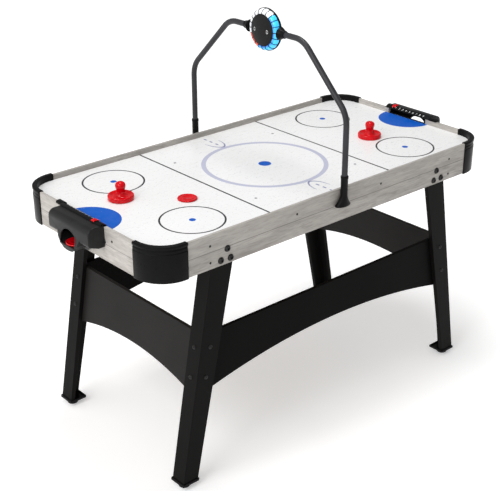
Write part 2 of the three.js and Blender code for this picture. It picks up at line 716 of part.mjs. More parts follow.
function addBlower(top) {
  const roof = top - GAP;
  const base = roof - BLOWER.height;
  const { halfX, yMin, yMax, bore } = BLOWER;
  const blower = new THREE.Group();
  blower.position.z = base;
  table.add(blower);

  const chamberWall = yMax - 4;
  const jack = { x: -28, z: 22, radius: 6 };
  const rocker = { x: 22, z: 22, halfX: 10, halfZ: 7 };
  const housing = cut(box(-halfX, halfX, yMin, yMax, 0, BLOWER.height), [
    bar('z', bore, -1, BLOWER.height + 1, [0, 0], 24),
    box(-halfX + 8, halfX - 8, bore + 10, chamberWall, 4, BLOWER.height + 1),
    bar('y', jack.radius + GAP, chamberWall - 1, yMax + 1, [jack.x, jack.z], 10),
    box(rocker.x - rocker.halfX - GAP, rocker.x + rocker.halfX + GAP, chamberWall - 1, yMax + 1,
      rocker.z - rocker.halfZ - GAP, rocker.z + rocker.halfZ + GAP),
  ]);
  place(blower, 'blower_housing', housing, blackPlastic);

  const hub = bar('z', 17, -6, 6, [0, 0], 14);
  const shaftHole = bar('z', 1.8, -7, 3, [0, 0], 10);
  const impeller = cut(join([hub, ...Array.from({ length: 7 }, (_, i) => fanBlade(i, 7))]), [shaftHole]);
  place(blower, 'blower_impeller', moved(impeller, 0, 0, 31), blackPlastic);

  const motor = join([bar('z', 16, GAP, 20, [0, 0], 20), bar('z', 1.5, 19, 33, [0, 0], 8)]);
  place(blower, 'blower_motor', motor, brushedMetal);

  const plate = roundedRectangle(halfX - 3, 56, 8);
  const grille = slabZ(plate, -3, -GAP * 2, 3).add(bar('z', 12, -3, 0, [0, 0], 16));
  const slots = [];
  for (const [inner, outer] of [[18, 30], [34, 46]]) {
    for (let i = 0; i < 4; i += 1) {
      const start = (i * Math.PI) / 2 + 4 / inner;
      const end = ((i + 1) * Math.PI) / 2 - 4 / inner;
      const slot = new THREE.Shape();
      slot.absarc(0, 0, outer, start, end, false);
      slot.absarc(0, 0, inner, end, start, true);
      slot.closePath();
      slots.push(slabZ(slot, -5, 3, 4));
    }
  }
  place(blower, 'blower_grille', cut(grille, slots), blackPlastic);

  const socket = cut(
    join([
      bar('y', jack.radius, chamberWall - 14, yMax + 1, [jack.x, jack.z], 10),
      bar('y', jack.radius + 2.5, yMax + GAP, yMax + 2.5, [jack.x, jack.z], 10),
    ]),
    [bar('y', 3.2, chamberWall - 8, yMax + 4, [jack.x, jack.z], 10)],
  );
  place(blower, 'power_jack', socket.add(bar('y', 1, chamberWall - 9, yMax, [jack.x, jack.z], 6)), blackSteel);

  const { halfX: switchX, halfZ: switchZ } = rocker;
  const bezel = cut(
    join([
      box(-switchX, switchX, chamberWall - 10, yMax + 1, -switchZ, switchZ),
      box(-switchX - 2, switchX + 2, yMax + GAP, yMax + 2, -switchZ - 2, switchZ + 2),
    ]),
    [box(-switchX + 1.5, switchX - 1.5, chamberWall - 7, yMax + 4, -switchZ + 1.5, switchZ - 1.5)],
  );
  place(blower, 'switch_bezel', moved(bezel, rocker.x, 0, rocker.z), blackPlastic);

  const keyHalf = switchX - 2.2;
  const keyOutline = outline([[-4, 0], [-1, -4], [4.5, -4], [4.5, 0], [5.5, 4], [-1, 4]]);
  const key = place(blower, 'switch_rocker', slabX(keyOutline, -keyHalf, keyHalf), redPlastic);
  key.position.set(rocker.x, yMax - ROCKER_PIVOT, rocker.z);
}

// ---- Build --------------------------------------------------------------------------------------------------------

const underside = addCabinet();
addCornerCaps();
addLegs();
addAprons();
addArch();
addScorer();
addGoalEnds();
addPlayPieces();
addBlower(underside);

export default table;
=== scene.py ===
"""The looks of an air hockey table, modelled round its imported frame.

Shapes are worked out in millimetres in the frame's own axes (+X along the table, +Y across it,
+Z up) and become metres when a piece is made.
"""

import math

import bmesh
import bpy
from mathutils import Matrix, Vector


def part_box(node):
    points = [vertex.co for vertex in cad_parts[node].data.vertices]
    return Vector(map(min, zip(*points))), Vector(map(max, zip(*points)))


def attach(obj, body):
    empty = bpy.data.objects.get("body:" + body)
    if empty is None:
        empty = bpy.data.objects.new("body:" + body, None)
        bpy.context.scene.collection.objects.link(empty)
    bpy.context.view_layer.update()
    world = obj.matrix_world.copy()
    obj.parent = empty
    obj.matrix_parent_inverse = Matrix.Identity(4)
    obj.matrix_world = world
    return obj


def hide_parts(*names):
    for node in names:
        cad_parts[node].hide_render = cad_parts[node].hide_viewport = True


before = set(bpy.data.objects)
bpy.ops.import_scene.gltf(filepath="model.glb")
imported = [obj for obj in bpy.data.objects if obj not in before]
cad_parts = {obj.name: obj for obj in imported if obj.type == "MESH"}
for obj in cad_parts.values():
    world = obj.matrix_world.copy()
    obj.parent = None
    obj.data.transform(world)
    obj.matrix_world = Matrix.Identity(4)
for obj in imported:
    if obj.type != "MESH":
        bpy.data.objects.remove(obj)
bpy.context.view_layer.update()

MM = 0.001
TURN = 2 * math.pi


def box_mm(node):
    """The lowest and highest corners of a CAD node, in millimetres."""
    low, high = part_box(node)
    return low / MM, high / MM


def middle_mm(node):
    low, high = box_mm(node)
    return (low + high) / 2


# ---- Places read from the frame ----

HALF_LENGTH = box_mm("right_end_panel")[1].x
HALF_WIDTH = box_mm("rear_side_panel")[1].y
RAIL_TOP = box_mm("rear_side_panel")[1].z
CABINET_BOTTOM = box_mm("rear_side_panel")[0].z
SURFACE = box_mm("playfield")[1].z
FIELD_HALF_X = box_mm("playfield")[1].x
FIELD_HALF_Y = box_mm("playfield")[1].y
PLANK_LINE = (RAIL_TOP + CABINET_BOTTOM) / 2
SCORER_CENTRE = Vector((0, 0, middle_mm("scorer_front_cover").z))

CORNER_RADIUS = 95
PANEL = 9
GAP = 0.3
LEG_FACE = box_mm("leg_rear_right")[1].y
ENDS = (("left", -1), ("right", 1))
SIDES = (("front", -1), ("rear", 1))
CORNERS = [(f"{side}_{end}", sx, sy) for end, sx in ENDS for side, sy in SIDES]


# ---- Camera and lights ----


CAMERA_PLACE = (-2.2259, -2.4680, 2.0586)
LIGHTS_FACE = (0, 0, 0.75)
WORLD_STRENGTH = (0.34, 1.3)  # from the right half of the sky, and from straight left


def add_camera():
    yaw, pitch, roll = (math.radians(angle) for angle in (41.22, 25.14, -0.18))
    data = bpy.data.cameras.new("camera")
    data.lens = 80.07
    data.sensor_width = 36
    data.clip_end = 60
    camera = bpy.data.objects.new("camera", data)
    bpy.context.scene.collection.objects.link(camera)
    level = math.cos(pitch)
    look = Vector((level * math.sin(yaw), level * math.cos(yaw), -math.sin(pitch)))
    turned = look.to_track_quat("-Z", "Y").to_matrix().to_4x4() @ Matrix.Rotation(roll, 4, "Z")
    camera.matrix_world = Matrix.Translation(CAMERA_PLACE) @ turned
    bpy.context.scene.camera = camera


def add_light(name, place, size, power):
    """A square soft box that faces the table."""
    data = bpy.data.lights.new(name, "AREA")
    data.shape = "SQUARE"
    data.size = size
    data.energy = power
    light = bpy.data.objects.new(name, data)
    bpy.context.scene.collection.objects.link(light)
    light.location = place
    ray = Vector(LIGHTS_FACE) - Vector(place)
    light.rotation_euler = ray.to_track_quat("-Z", "Y").to_euler()


def add_studio():
    """A white world that is brightest on the left, and two soft boxes above the table."""
    world = bpy.data.worlds.new("studio")
    world.use_nodes = True
    nodes, links = world.node_tree.nodes, world.node_tree.links
    background = nodes["Background"]
    background.inputs["Color"].default_value = (1, 1, 1, 1)
    direction = nodes.new("ShaderNodeSeparateXYZ")
    links.new(nodes.new("ShaderNodeTexCoord").outputs["Generated"], direction.inputs[0])
    strength = nodes.new("ShaderNodeMapRange")
    sockets = ("From Min", "From Max", "To Min", "To Max")
    for socket, value in zip(sockets, (0, -1, *WORLD_STRENGTH)):
        strength.inputs[socket].default_value = value
    links.new(direction.outputs["X"], strength.inputs["Value"])
    links.new(strength.outputs["Result"], background.inputs["Strength"])
    bpy.context.scene.world = world
    bpy.context.scene.view_settings.view_transform = "Standard"

    add_light("key", (-3.4, -0.6, 3.2), 2.2, 62)
    add_light("overhead", (0.1, 0.25, 4.2), 1.3, 66)


# ---- Materials ----


class Surface:
    """A node material round one Principled shader. It keeps the name of the record's slot that it
    belongs to, which nothing reads.
    """

    def __init__(self, name, slot, roughness=0.5, metallic=0.0, **constants):
        self.slot = slot
        self.material = bpy.data.materials.new(name)
        self.material.use_nodes = True
        self.tree = self.material.node_tree
        self.shader = self.tree.nodes["Principled BSDF"]
        self.shader.inputs["Roughness"].default_value = roughness
        self.shader.inputs["Metallic"].default_value = metallic
        for socket, value in constants.items():
            self.shader.inputs[socket.replace("_", " ")].default_value = value
        self.place = self.add("TexCoord").outputs["Object"]

    def add(self, kind, inputs=None, **settings):
        node = self.tree.nodes.new("ShaderNode" + kind)
        for key, value in settings.items():
            setattr(node, key, value)
        for key, value in (inputs or {}).items():
            if isinstance(value, bpy.types.NodeSocket):
                self.tree.links.new(value, node.inputs[key])
            else:
                node.inputs[key].default_value = value
        return node

    def stretched(self, scale):
        return self.add("Mapping", {"Vector": self.place, "Scale": scale}).outputs[0]

    def noise(self, scale, detail=4.0, stretch=None, distortion=0.0):
        place = self.stretched(stretch) if stretch else self.place
        inputs = {"Vector": place, "Scale": scale, "Detail": detail, "Distortion": distortion}
        return self.add("TexNoise", inputs).outputs[0]

    def math(self, operation, a, b=0.0):
        return self.add("Math", {0: a, 1: b}, operation=operation).outputs[0]

    def vector(self, operation, *inputs, output=0):
        return self.add("VectorMath", dict(enumerate(inputs)), operation=operation).outputs[output]

    def spread(self, value, low, high, from_low=0.3, from_high=0.7):
        """A value between from_low and from_high, stretched to run from low to high."""
        inputs = {0: value, 1: from_low, 2: from_high, 3: low, 4: high}
        return self.add("MapRange", inputs, clamp=True).outputs[0]

    def ramp(self, value, stops):
        node = self.add("ValToRGB", {0: value})
        elements = node.color_ramp.elements
        while len(elements) < len(stops):
            elements.new(0.5)
        for element, (position, color) in zip(elements, stops):
            element.position = position
            element.color = (*color, 1)
        return node.outputs[0]

    def mix(self, share, a, b):
        """Colour a where share is 0 and colour b where it is 1."""
        a, b = [c if isinstance(c, bpy.types.NodeSocket) else (*c, 1) for c in (a, b)]
        return self.add("Mix", {0: share, 6: a, 7: b}, data_type="RGBA").outputs[2]

    def axis(self, letter):
        return self.add("SeparateXYZ", {0: self.place}).outputs["XYZ".index(letter)]

    def color(self, output, socket="Base Color"):
        """Feeds a socket of the shader, which is the base colour unless another is named."""
        self.tree.links.new(output, self.shader.inputs[socket])
        return self

    def rough(self, output):
        self.tree.links.new(output, self.shader.inputs["Roughness"])
        return self

    def bump(self, height, depth, strength=1.0):
        """Relief from a height between 0 and 1, `depth` millimetres deep."""
        node = self.add("Bump", {"Height": height, "Distance": depth * MM, "Strength": strength})
        self.tree.links.new(node.outputs[0], self.shader.inputs["Normal"])
        return self


def washed_wood(name, along, dark, light):
    """Printed laminate of two grey washed planks, one above the other, with grain along X or Y."""
    s = Surface(name, "washed_wood", 0.55)
    grain = (1, 9, 9) if along == "X" else (9, 1, 9)
    broad = s.noise(7, 5, grain, 0.6)
    fine = s.noise(34, 6, grain, 0.2)
    cloud = s.noise(2.2, 3)
    middle = [(a + b) / 2 for a, b in zip(dark, light)]
    wood = s.ramp(broad, [(0.30, dark), (0.48, middle), (0.66, light)])
    streak = s.spread(fine, 0.0, 0.55, 0.46, 0.68)
    wood = s.mix(streak, wood, [c * 0.72 for c in dark])
    warm = [c * tint for c, tint in zip(light, (1.04, 0.98, 0.93))]
    wood = s.mix(s.spread(cloud, 0.0, 0.35), wood, warm)
    height = s.math("SUBTRACT", s.axis("Z"), PLANK_LINE * MM)
    upper = s.math("GREATER_THAN", height, 0.0)
    wood = s.mix(s.math("MULTIPLY", upper, 0.16), wood, light)
    line = s.spread(s.math("ABSOLUTE", height), 0.8, 0.0, 0.0004, 0.0014)
    wood = s.mix(line, wood, [c * 0.42 for c in dark])
    s.color(wood)
    s.rough(s.spread(fine, 0.48, 0.66))
    return s.bump(s.math("SUBTRACT", fine, line), 0.25, 0.5)


def mottled(name, slot, noise, stops, gloss, relief, fine=None, **shader):
    """A material whose colour and roughness follow one noise; its relief may follow a finer one."""
    s = Surface(name, slot, **shader)
    tone = s.noise(*noise)
    s.color(s.ramp(tone, stops))
    s.rough(s.spread(tone, *gloss))
    return s.bump(s.noise(*fine) if fine else tone, *relief)


def playing_surface():
    """White coated board, slightly uneven in tone, with faint scuffs that show in the gloss."""
    s = Surface("playing_surface", "playing_surface", 0.3, Coat_Weight=0.25, Coat_Roughness=0.12)
    tone = s.noise(3.1, 4)
    scuff = s.noise(40, 6, (1, 5, 1), 1.5)
    s.color(s.ramp(tone, [(0.3, (0.79, 0.79, 0.785)), (0.7, (0.83, 0.83, 0.83))]))
    s.rough(s.spread(scuff, 0.24, 0.42))
    return s.bump(s.noise(220, 3), 0.03, 0.4)


def ink(name, color):
    """Screen print on the playing surface, a little uneven in density."""
    stops = [(0.35, color), (0.72, [c + (1 - c) * 0.02 for c in color])]
    return mottled(
        name, "playing_surface", (60, 5), stops, (0.3, 0.45), (0.02, 0.4), (900, 2),
        Specular_IOR_Level=0.05,
    )


def raw_board():
    """Bare fibreboard: fine flecks in a warm brown."""
    s = Surface("raw_board", "raw_board", 0.85)
    fleck = s.noise(260, 6)
    cloud = s.noise(9, 3)
    brown = s.ramp(fleck, [(0.3, (0.20, 0.125, 0.065)), (0.7, (0.36, 0.245, 0.14))])
    s.color(s.mix(s.spread(cloud, 0.0, 0.25), brown, (0.28, 0.17, 0.09)))
    return s.bump(fleck, 0.3, 0.6)


def black_board(name, along, level, specular):
    """Black laminate with a faint open grain pressed into it, along X, Y or Z."""
    s = Surface(name, "black_board", 0.45, Specular_IOR_Level=specular)
    grain = [22, 22, 22]
    grain["XYZ".index(along)] = 1
    pore = s.noise(26, 6, tuple(grain), 0.3)
    cloud = s.noise(5, 3)
    dark = [level * share for share in (0.85, 0.79, 0.75)]
    light = [level * share for share in (1.2, 1.12, 1.06)]
    s.color(s.ramp(cloud, [(0.3, dark), (0.7, light)]))
    s.rough(s.spread(pore, 0.44, 0.5))
    return s.bump(pore, 0.04, 0.12)


def black_plastic(name="black_plastic", level=0.006, roughness=0.36, specular=0.07):
    """Moulded black plastic: a fine spark texture with soft sheen and slight wear in the gloss."""
    stops = [(0.3, (level * 0.86,) * 3), (0.75, (level * 1.2, level * 1.2, level * 1.24))]
    return mottled(
        name, "black_plastic", (24, 5), stops, (roughness - 0.06, roughness + 0.09), (0.06, 0.5),
        (1500, 2), Specular_IOR_Level=specular,
    )


def arch_steel():
    """Dark grey powder coat with orange peel."""
    stops = [(0.3, (0.024, 0.024, 0.027)), (0.7, (0.034, 0.034, 0.038))]
    return mottled(
        "arch_steel", "arch_steel", (14, 4), stops, (0.32, 0.44), (0.09, 0.5), (520, 3),
        metallic=0.1, Specular_IOR_Level=0.25,
    )


def bolt_steel():
    """Black oxide steel with turned marks and bright wear on its high spots."""
    stops = [(0.35, (0.02, 0.02, 0.021)), (0.72, (0.055, 0.054, 0.052)), (0.8, (0.15, 0.15, 0.15))]
    return mottled(
        "bolt_steel", "bolt_steel", (420, 5), stops, (0.26, 0.5), (0.04, 0.5), (1600, 3),
        metallic=0.85,
    )


def motor_steel():
    """Plated motor can with fine marks round it."""
    stops = [(0.3, (0.42, 0.43, 0.45)), (0.7, (0.62, 0.63, 0.65))]
    noise = (70, 5, (1, 1, 30))
    return mottled(
        "motor_steel", "motor_steel", noise, stops, (0.22, 0.42), (0.03, 0.4), metallic=0.95
    )


def foot_rubber():
    """Matt black rubber, dusty where it has been handled."""
    stops = [(0.35, (0.012, 0.012, 0.012)), (0.75, (0.035, 0.034, 0.032))]
    return mottled(
        "foot_rubber", "foot_rubber", (160, 6), stops, (0.7, 0.9), (0.12, 0.6), (900, 4),
        Specular_IOR_Level=0.3,
    )


def red_plastic():
    """Polished red plastic with faint flow marks."""
    stops = [(0.3, (0.50, 0.000, 0.004)), (0.7, (0.66, 0.001, 0.007))]
    noise = (45, 4, (1, 1, 3), 0.8)
    return mottled(
        "red_plastic", "red_plastic", noise, stops, (0.08, 0.15), (0.06, 0.25),
        Specular_IOR_Level=0.2, Coat_Weight=0.05, Coat_Roughness=0.03,
    )


def felt():
    """Pale wool felt under a mallet."""
    s = Surface("mallet_felt", None, 0.95, Sheen_Weight=0.6, Sheen_Roughness=0.5)
    fibre = s.noise(1400, 6, None, 1.2)
    s.color(s.ramp(fibre, [(0.3, (0.42, 0.41, 0.39)), (0.7, (0.68, 0.67, 0.64))]))
    return s.bump(fibre, 0.3, 0.7)


def circuit_board():
    """Green solder mask with faint copper tracks below it."""
    s = Surface("circuit_board", "circuit_board", 0.4)
    tracks = s.add("TexBrick", {"Vector": s.place, "Scale": 160.0}).outputs["Fac"]
    s.color(s.mix(tracks, (0.012, 0.11, 0.035), (0.03, 0.2, 0.07)))
    s.rough(s.spread(s.noise(120), 0.3, 0.5))
    return s.bump(tracks, 0.05, 0.5)


def lit_window(name, inner, outer, strength):
    """A translucent window lit from inside, paler towards its outer edge and a little uneven."""
    gloss = {"Coat_Weight": 0.6, "Coat_Roughness": 0.06}
    s = Surface(name, "light_ring", 0.18, **gloss, Emission_Strength=strength)
    radial = s.vector("MULTIPLY", s.vector("SUBTRACT", s.place, SCORER_CENTRE * MM), (0, 1, 1))
    reach = s.vector("LENGTH", radial, output="Value")
    share = s.spread(reach, 0.0, 1.0, 0.049, 0.060)
    uneven = s.math("ADD", share, s.spread(s.noise(130, 4), -0.22, 0.22))
    glow = s.ramp(uneven, [(0.0, inner), (0.85, outer)])
    s.color(glow)
    s.color(glow, "Emission Color")
    return s.bump(s.noise(500, 3), 0.08, 0.4)


def numeral_ink():
    """Pale printed numerals, a little worn."""
    stops = [(0.32, (0.52, 0.53, 0.54)), (0.55, (0.82, 0.82, 0.82))]
    return mottled("numeral_ink", "black_plastic", (700, 5), stops, (0.4, 0.6), (0.03, 0.4))


def studio_floor():
    """A pale seamless floor, faintly mottled, which glows a little and more so beyond the table."""
    s = Surface("studio_floor", None, 0.9, Specular_IOR_Level=0.1, Emission_Color=(1, 1, 1, 1))
    s.color(s.ramp(s.noise(3, 3), [(0.3, (0.92, 0.92, 0.92)), (0.7, (0.94, 0.94, 0.94))]))
    reach = s.vector("LENGTH", s.place, output="Value")
    s.color(s.spread(reach, 0.34, 0.55, 1.0, 4.5), "Emission Strength")
    return s.rough(s.spread(s.noise(8), 0.85, 0.95))


SIDE_TONES = ((0.255, 0.240, 0.222), (0.415, 0.395, 0.368))  # dark and light grain
# The end panels' wood is the sides' wood made 17 % lighter: painted light, for the stronger light
# falling on the -X ends.
END_TONES_PAINTED_LIGHT = [[c * 1.17 for c in tone] for tone in SIDE_TONES]
SIDE_WOOD = washed_wood("washed_wood_side", "X", *SIDE_TONES)
END_WOOD_PAINTED_LIGHT = washed_wood("washed_wood_end_painted_light", "Y", *END_TONES_PAINTED_LIGHT)
FIELD = playing_surface()
DARK_INK = ink("dark_ink", (0.030, 0.030, 0.034))
BLUE_INK = ink("blue_ink", (0.002, 0.090, 0.46))
RING_INK = ink("ring_ink", (0.44, 0.45, 0.56))
ARROW_INK = ink("arrow_ink", (0.22, 0.23, 0.38))
# One grey serves both as ink for the small printed dots and as painted shade inside the air holes.
DOT_INK_AND_HOLE_SHADE = ink("dot_ink_and_hole_shade", (0.22, 0.22, 0.24))
RAW_BOARD = raw_board()
# The legs and aprons are one black laminate in lit and shaded copies: the end aprons' lighter level
# is painted light on the -X faces, and the side aprons' darker level is painted shade.
LEG_BOARD = black_board("black_board_leg", "Z", 0.0055, 0.05)
SIDE_APRON_BOARD_PAINTED_SHADE = black_board("black_board_side_painted_shade", "X", 0.0035, 0.03)
END_APRON_BOARD_PAINTED_LIGHT = black_board("black_board_end_painted_light", "Y", 0.014, 0.10)
BLACK = black_plastic()
CAP_BLACK = black_plastic("cap_plastic", 0.0045, 0.30)
FACE_BLACK = black_plastic("scorer_face_plastic", 0.014, 0.24)
# The goal hoods' black is lighter than the other black plastic: painted sheen for the reflection
# along the hoods, on top of their real, stronger specular.
GOAL_BLACK_PAINTED_SHEEN = black_plastic("goal_plastic_painted_sheen", 0.011, 0.38, 0.22)
STEEL = arch_steel()
BOLT = bolt_steel()
MOTOR = motor_steel()
RUBBER = foot_rubber()
RED = red_plastic()
FELT = felt()
BOARD_GREEN = circuit_board()
CYAN = lit_window("window_cyan", (0.0, 0.06, 0.34), (0.03, 0.42, 0.80), 0.75)
WINDOW_RED = lit_window("window_red", (0.30, 0.015, 0.004), (0.75, 0.07, 0.03), 0.55)
CLEAR = lit_window("window_clear", (0.55, 0.56, 0.58), (0.86, 0.88, 0.90), 0.22)
NUMERAL = numeral_ink()


# ---- Bodies ----
# A body is a list of points in millimetres and a list of faces.


def loft(rings, loop=False, wrap=True):
    """A skin through rings of points, closed by a face at each end unless the rings loop round."""
    count = len(rings[0])
    points = [Vector(p) for ring in rings for p in ring]
    faces = []
    for i in range(len(rings) if loop else len(rings) - 1):
        a, b = i * count, (i + 1) % len(rings) * count
        for k in range(count if wrap else count - 1):
            n = (k + 1) % count
            faces.append((a + k, a + n, b + n, b + k))
    if not loop:
        faces.append(tuple(reversed(range(count))))
        faces.append(tuple(range(len(points) - count, len(points))))
    return points, faces


def lathe(profile, segments=64, wrap=False):
    """A body turned about Z. Its profile of radius and height ends on the axis, or wraps."""
    rings = []
    for i in range(segments):
        c, s = math.cos(TURN * i / segments), math.sin(TURN * i / segments)
        rings.append([(r * c, r * s, z) for r, z in profile])
    return loft(rings, loop=True, wrap=wrap)


def rounded(points, radius, steps=4, closed=True):
    """An outline with its corners rounded, by one radius or by one for each corner."""
    radii = radius if isinstance(radius, (list, tuple)) else [radius] * len(points)
    flat = [Vector(p) for p in points]
    out = []
    for i, (p, r) in enumerate(zip(flat, radii)):
        back, on = flat[i - 1] - p, flat[(i + 1) % len(flat)] - p
        end = not closed and i in (0, len(flat) - 1)
        if r <= 0 or end or back.angle(on) > math.pi - 0.02:
            out.append(p)
            continue
        half = back.angle(on) / 2
        reach = min(r / math.tan(half), 0.49 * back.length, 0.49 * on.length)
        back.normalize()
        on.normalize()
        centre = p + (back + on).normalized() * (reach / math.cos(half))
        start, finish = p + back * reach - centre, p + on * reach - centre
        sweep = start.angle(finish)
        for k in range(steps + 1):
            a = math.sin((1 - k / steps) * sweep) / math.sin(sweep)
            b = math.sin(k / steps * sweep) / math.sin(sweep)
            out.append(centre + start * a + finish * b)
    return out


def inset(points, distance):
    """A closed outline moved inwards by `distance`."""
    flat = [Vector(p) for p in points]
    area = sum(a.x * b.y - b.x * a.y for a, b in zip(flat, flat[1:] + flat[:1]))
    side = 1 if area > 0 else -1
    out = []
    for i, p in enumerate(flat):
        along = [(p - flat[i - 1]).normalized(), (flat[(i + 1) % len(flat)] - p).normalized()]
        a, b = [Vector((-d.y, d.x)) * side for d in along]
        out.append(p + (a + b) * (distance / max(1 + a.dot(b), 0.3)))
    return out


PLANES = {
    "XY": lambda u, v, w: (u, v, w),
    "XZ": lambda u, v, w: (u, w, v),
    "YZ": lambda u, v, w: (w, u, v),
}


def prism(outline, start, end, plane="XY", edge=0.0, steps=3):
    """An outline run from start to end along the third axis, with rims rounded by `edge`."""
    place = PLANES[plane]
    levels = [(start, 0.0), (end, 0.0)]
    if edge:
        quarter = [math.pi / 2 * k / steps for k in range(steps + 1)]
        rim = [(edge * (1 - math.sin(a)), edge * (1 - math.cos(a))) for a in quarter]
        levels = [(start + w, d) for w, d in reversed(rim)] + [(end - w, d) for w, d in rim]
    rings = []
    for w, d in levels:
        rings.append([place(p[0], p[1], w) for p in (inset(outline, d) if d else outline)])
    return loft(rings)


def rectangle(left, low, right, high):
    return [(left, low), (right, low), (right, high), (left, high)]


def arc(centre, radius, start, end, steps):
    """Points on a circle between two angles in degrees."""
    angles = [math.radians(start + (end - start) * k / steps) for k in range(steps + 1)]
    return [(centre[0] + radius * math.cos(a), centre[1] + radius * math.sin(a)) for a in angles]


def circle(radius, steps, centre=(0, 0)):
    return arc(centre, radius, 0, 360 * (steps - 1) / steps, steps - 1)


def sweep(section, path):
    """A section, in sideways and up millimetres, carried along a path in the plane X = 0."""
    rings = []
    across = Vector((1, 0, 0))
    for i, p in enumerate(path):
        along = (path[min(i + 1, len(path) - 1)] - path[max(i - 1, 0)]).normalized()
        up = along.cross(across).normalized()
        rings.append([p + across * u + up * v for u, v in section])
    return loft(rings)


def moved(body, matrix):
    points, faces = body
    return [matrix @ Vector(p) for p in points], faces


def at(x=0, y=0, z=0):
    return Matrix.Translation((x, y, z))


def under(node):
    """A placement at the middle of the bottom of a CAD node's box."""
    centre = middle_mm(node)
    return at(centre.x, centre.y, box_mm(node)[0].z)


def turn(degrees, axis):
    return Matrix.Rotation(math.radians(degrees), 4, axis)


def flipped(side_x, side_y):
    return Matrix.Diagonal((side_x, side_y, 1, 1))


def mesh_of(bodies, name, scale):
    """One mesh of some bodies, with the points that fall together merged."""
    points, faces = [], []
    for body_points, body_faces in bodies:
        start = len(points)
        points += [Vector(p) * scale for p in body_points]
        faces += [tuple(start + i for i in face) for face in body_faces]
    mesh = bpy.data.meshes.new(name)
    mesh.from_pydata(points, [], faces)
    work = bmesh.new()
    work.from_mesh(mesh)
    bmesh.ops.remove_doubles(work, verts=work.verts, dist=scale * 1e-3)
    bmesh.ops.dissolve_degenerate(work, edges=work.edges, dist=scale * 1e-3)
    bmesh.ops.recalc_face_normals(work, faces=work.faces)
    work.to_mesh(mesh)
    work.free()
    return mesh


def combined(first, joined=(), taken=()):
    """One body: the first with others joined to it and others cut out of it."""
    objects = []
    for body in [first, *joined, *taken]:
        o = bpy.data.objects.new("work", mesh_of([body], "work", 1.0))
        bpy.context.scene.collection.objects.link(o)
        objects.append(o)
    for i, tool in enumerate(objects[1:]):
        modifier = objects[0].modifiers.new("boolean", "BOOLEAN")
        modifier.solver = "EXACT"
        modifier.operation = "UNION" if i < len(joined) else "DIFFERENCE"
        modifier.object = tool
    shown = objects[0].evaluated_get(bpy.context.evaluated_depsgraph_get())
    result = shown.to_mesh()
    body = [v.co.copy() for v in result.vertices], [tuple(p.vertices) for p in result.polygons]
    shown.to_mesh_clear()
    for o in objects:
        mesh = o.data
        bpy.data.objects.remove(o)
        bpy.data.meshes.remove(mesh)
    return body


def shade(mesh, crease):
    """Smooth shading, apart from edges that turn by more than `crease` degrees."""
    work = bmesh.new()
    work.from_mesh(mesh)
    for face in work.faces:
        face.smooth = True
    for edge in work.edges:
        edge.smooth = edge.calc_face_angle(0) < math.radians(crease)
    work.to_mesh(mesh)
    work.free()


def soften(piece, width, angle=30):
    """Rounds the sharp edges of a piece by `width` millimetres."""
    modifier = piece.modifiers.new("edges", "BEVEL")
    modifier.width = width * MM
    modifier.segments = 3
    modifier.limit_method = "ANGLE"
    modifier.angle_limit = math.radians(angle)
    modifier.harden_normals = True


def make(name, bodies, surface, body="table", nodes=(), crease=38, edge=0.0):
    """A piece in metres that rides on a body of the frame and may stand for CAD nodes."""
    mesh = mesh_of(bodies, name, MM)
    shade(mesh, crease)
    mesh.materials.append(surface.material)
    piece = bpy.data.objects.new(name, mesh)
    bpy.context.scene.collection.objects.link(piece)
    if edge:
        soften(piece, edge)
    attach(piece, body)
    if nodes:
        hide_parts(*nodes)
    return piece


def stand_for(node, suffix, bodies, surface, body="table", **settings):
    """A piece that takes the place of one CAD node and is named after it."""
    make(f"{node}_{suffix}", bodies, surface, body, [node], **settings)


def dress(node, surface, edge=0.0):
    """Gives a CAD node its finished material, and rounds its edges a little."""
    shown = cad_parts[node]
    shown.data.materials.clear()
    shown.data.materials.append(surface.material)
    if edge:
        weld = shown.modifiers.new("weld", "WELD")
        weld.merge_threshold = 0.01 * MM
        for face in shown.data.polygons:
            face.use_smooth = True
        soften(shown, edge)
        flat = shown.modifiers.new("flat faces", "WEIGHTED_NORMAL")
        flat.weight = 100
        flat.keep_sharp = True


# ---- Cabinet ----


def dress_cabinet():
    dress("playfield", FIELD)
    for side, _ in SIDES:
        dress(f"{side}_side_panel", SIDE_WOOD, 0.8)
    for end, _ in ENDS:
        dress(f"{end}_end_panel", END_WOOD_PAINTED_LIGHT, 0.8)
        dress(f"plenum_rib_{end}", RAW_BOARD)
    dress("plenum_frame", RAW_BOARD)
    dress("bottom_panel", RAW_BOARD)


PRINT = (SURFACE - 0.4, SURFACE + 0.12)  # print is sunk in the board and stands just above it
FACE_OFF = (450, 194)


def printed(name, outlines, surface):
    make(name, [prism(o, *PRINT) for o in outlines], surface)


def printed_rings(name, centres, outer, width, surface):
    """Rings printed flat on the playing surface."""
    ring = lathe(rectangle(outer - width, PRINT[0], outer, PRINT[1]), 128, wrap=True)
    make(name, [moved(ring, at(x, y)) for x, y in centres], surface)


def four(x, y):
    """The same place in each quarter of the table."""
    return [(sx * x, sy * y) for sx in (-1, 1) for sy in (-1, 1)]


def stroke(line, width):
    """The outline of a line drawn with a pen that narrows to a point at its far end."""
    flat = [Vector(p) for p in line]
    left, right = [], []
    for i, p in enumerate(flat):
        along = (flat[min(i + 1, len(flat) - 1)] - flat[max(i - 1, 0)]).normalized()
        half = width / 2 * (1 - 0.8 * i / (len(flat) - 1))
        left.append(p + Vector((-along.y, along.x)) * half)
        right.append(p - Vector((-along.y, along.x)) * half)
    return left + right[::-1]


def arrow_outlines(side):
    """Two curved barbs that meet at the centre ring, and a dashed tail towards the arch's foot."""
    tip, tail, spread = 205, 266, 29
    outlines = []
    for bend in (-1, 1):
        barb = []
        for k in range(13):
            t = k / 12
            x = bend * spread * math.sin(t * math.pi / 2)
            barb.append((x, side * (tip + (tail - tip) * t ** 1.6)))
        outlines.append(stroke(barb, 7))
    for middle in (240, 270, 300):
        outlines.append(rectangle(-3, side * (middle - 7), 3, side * (middle + 7)))
    return outlines


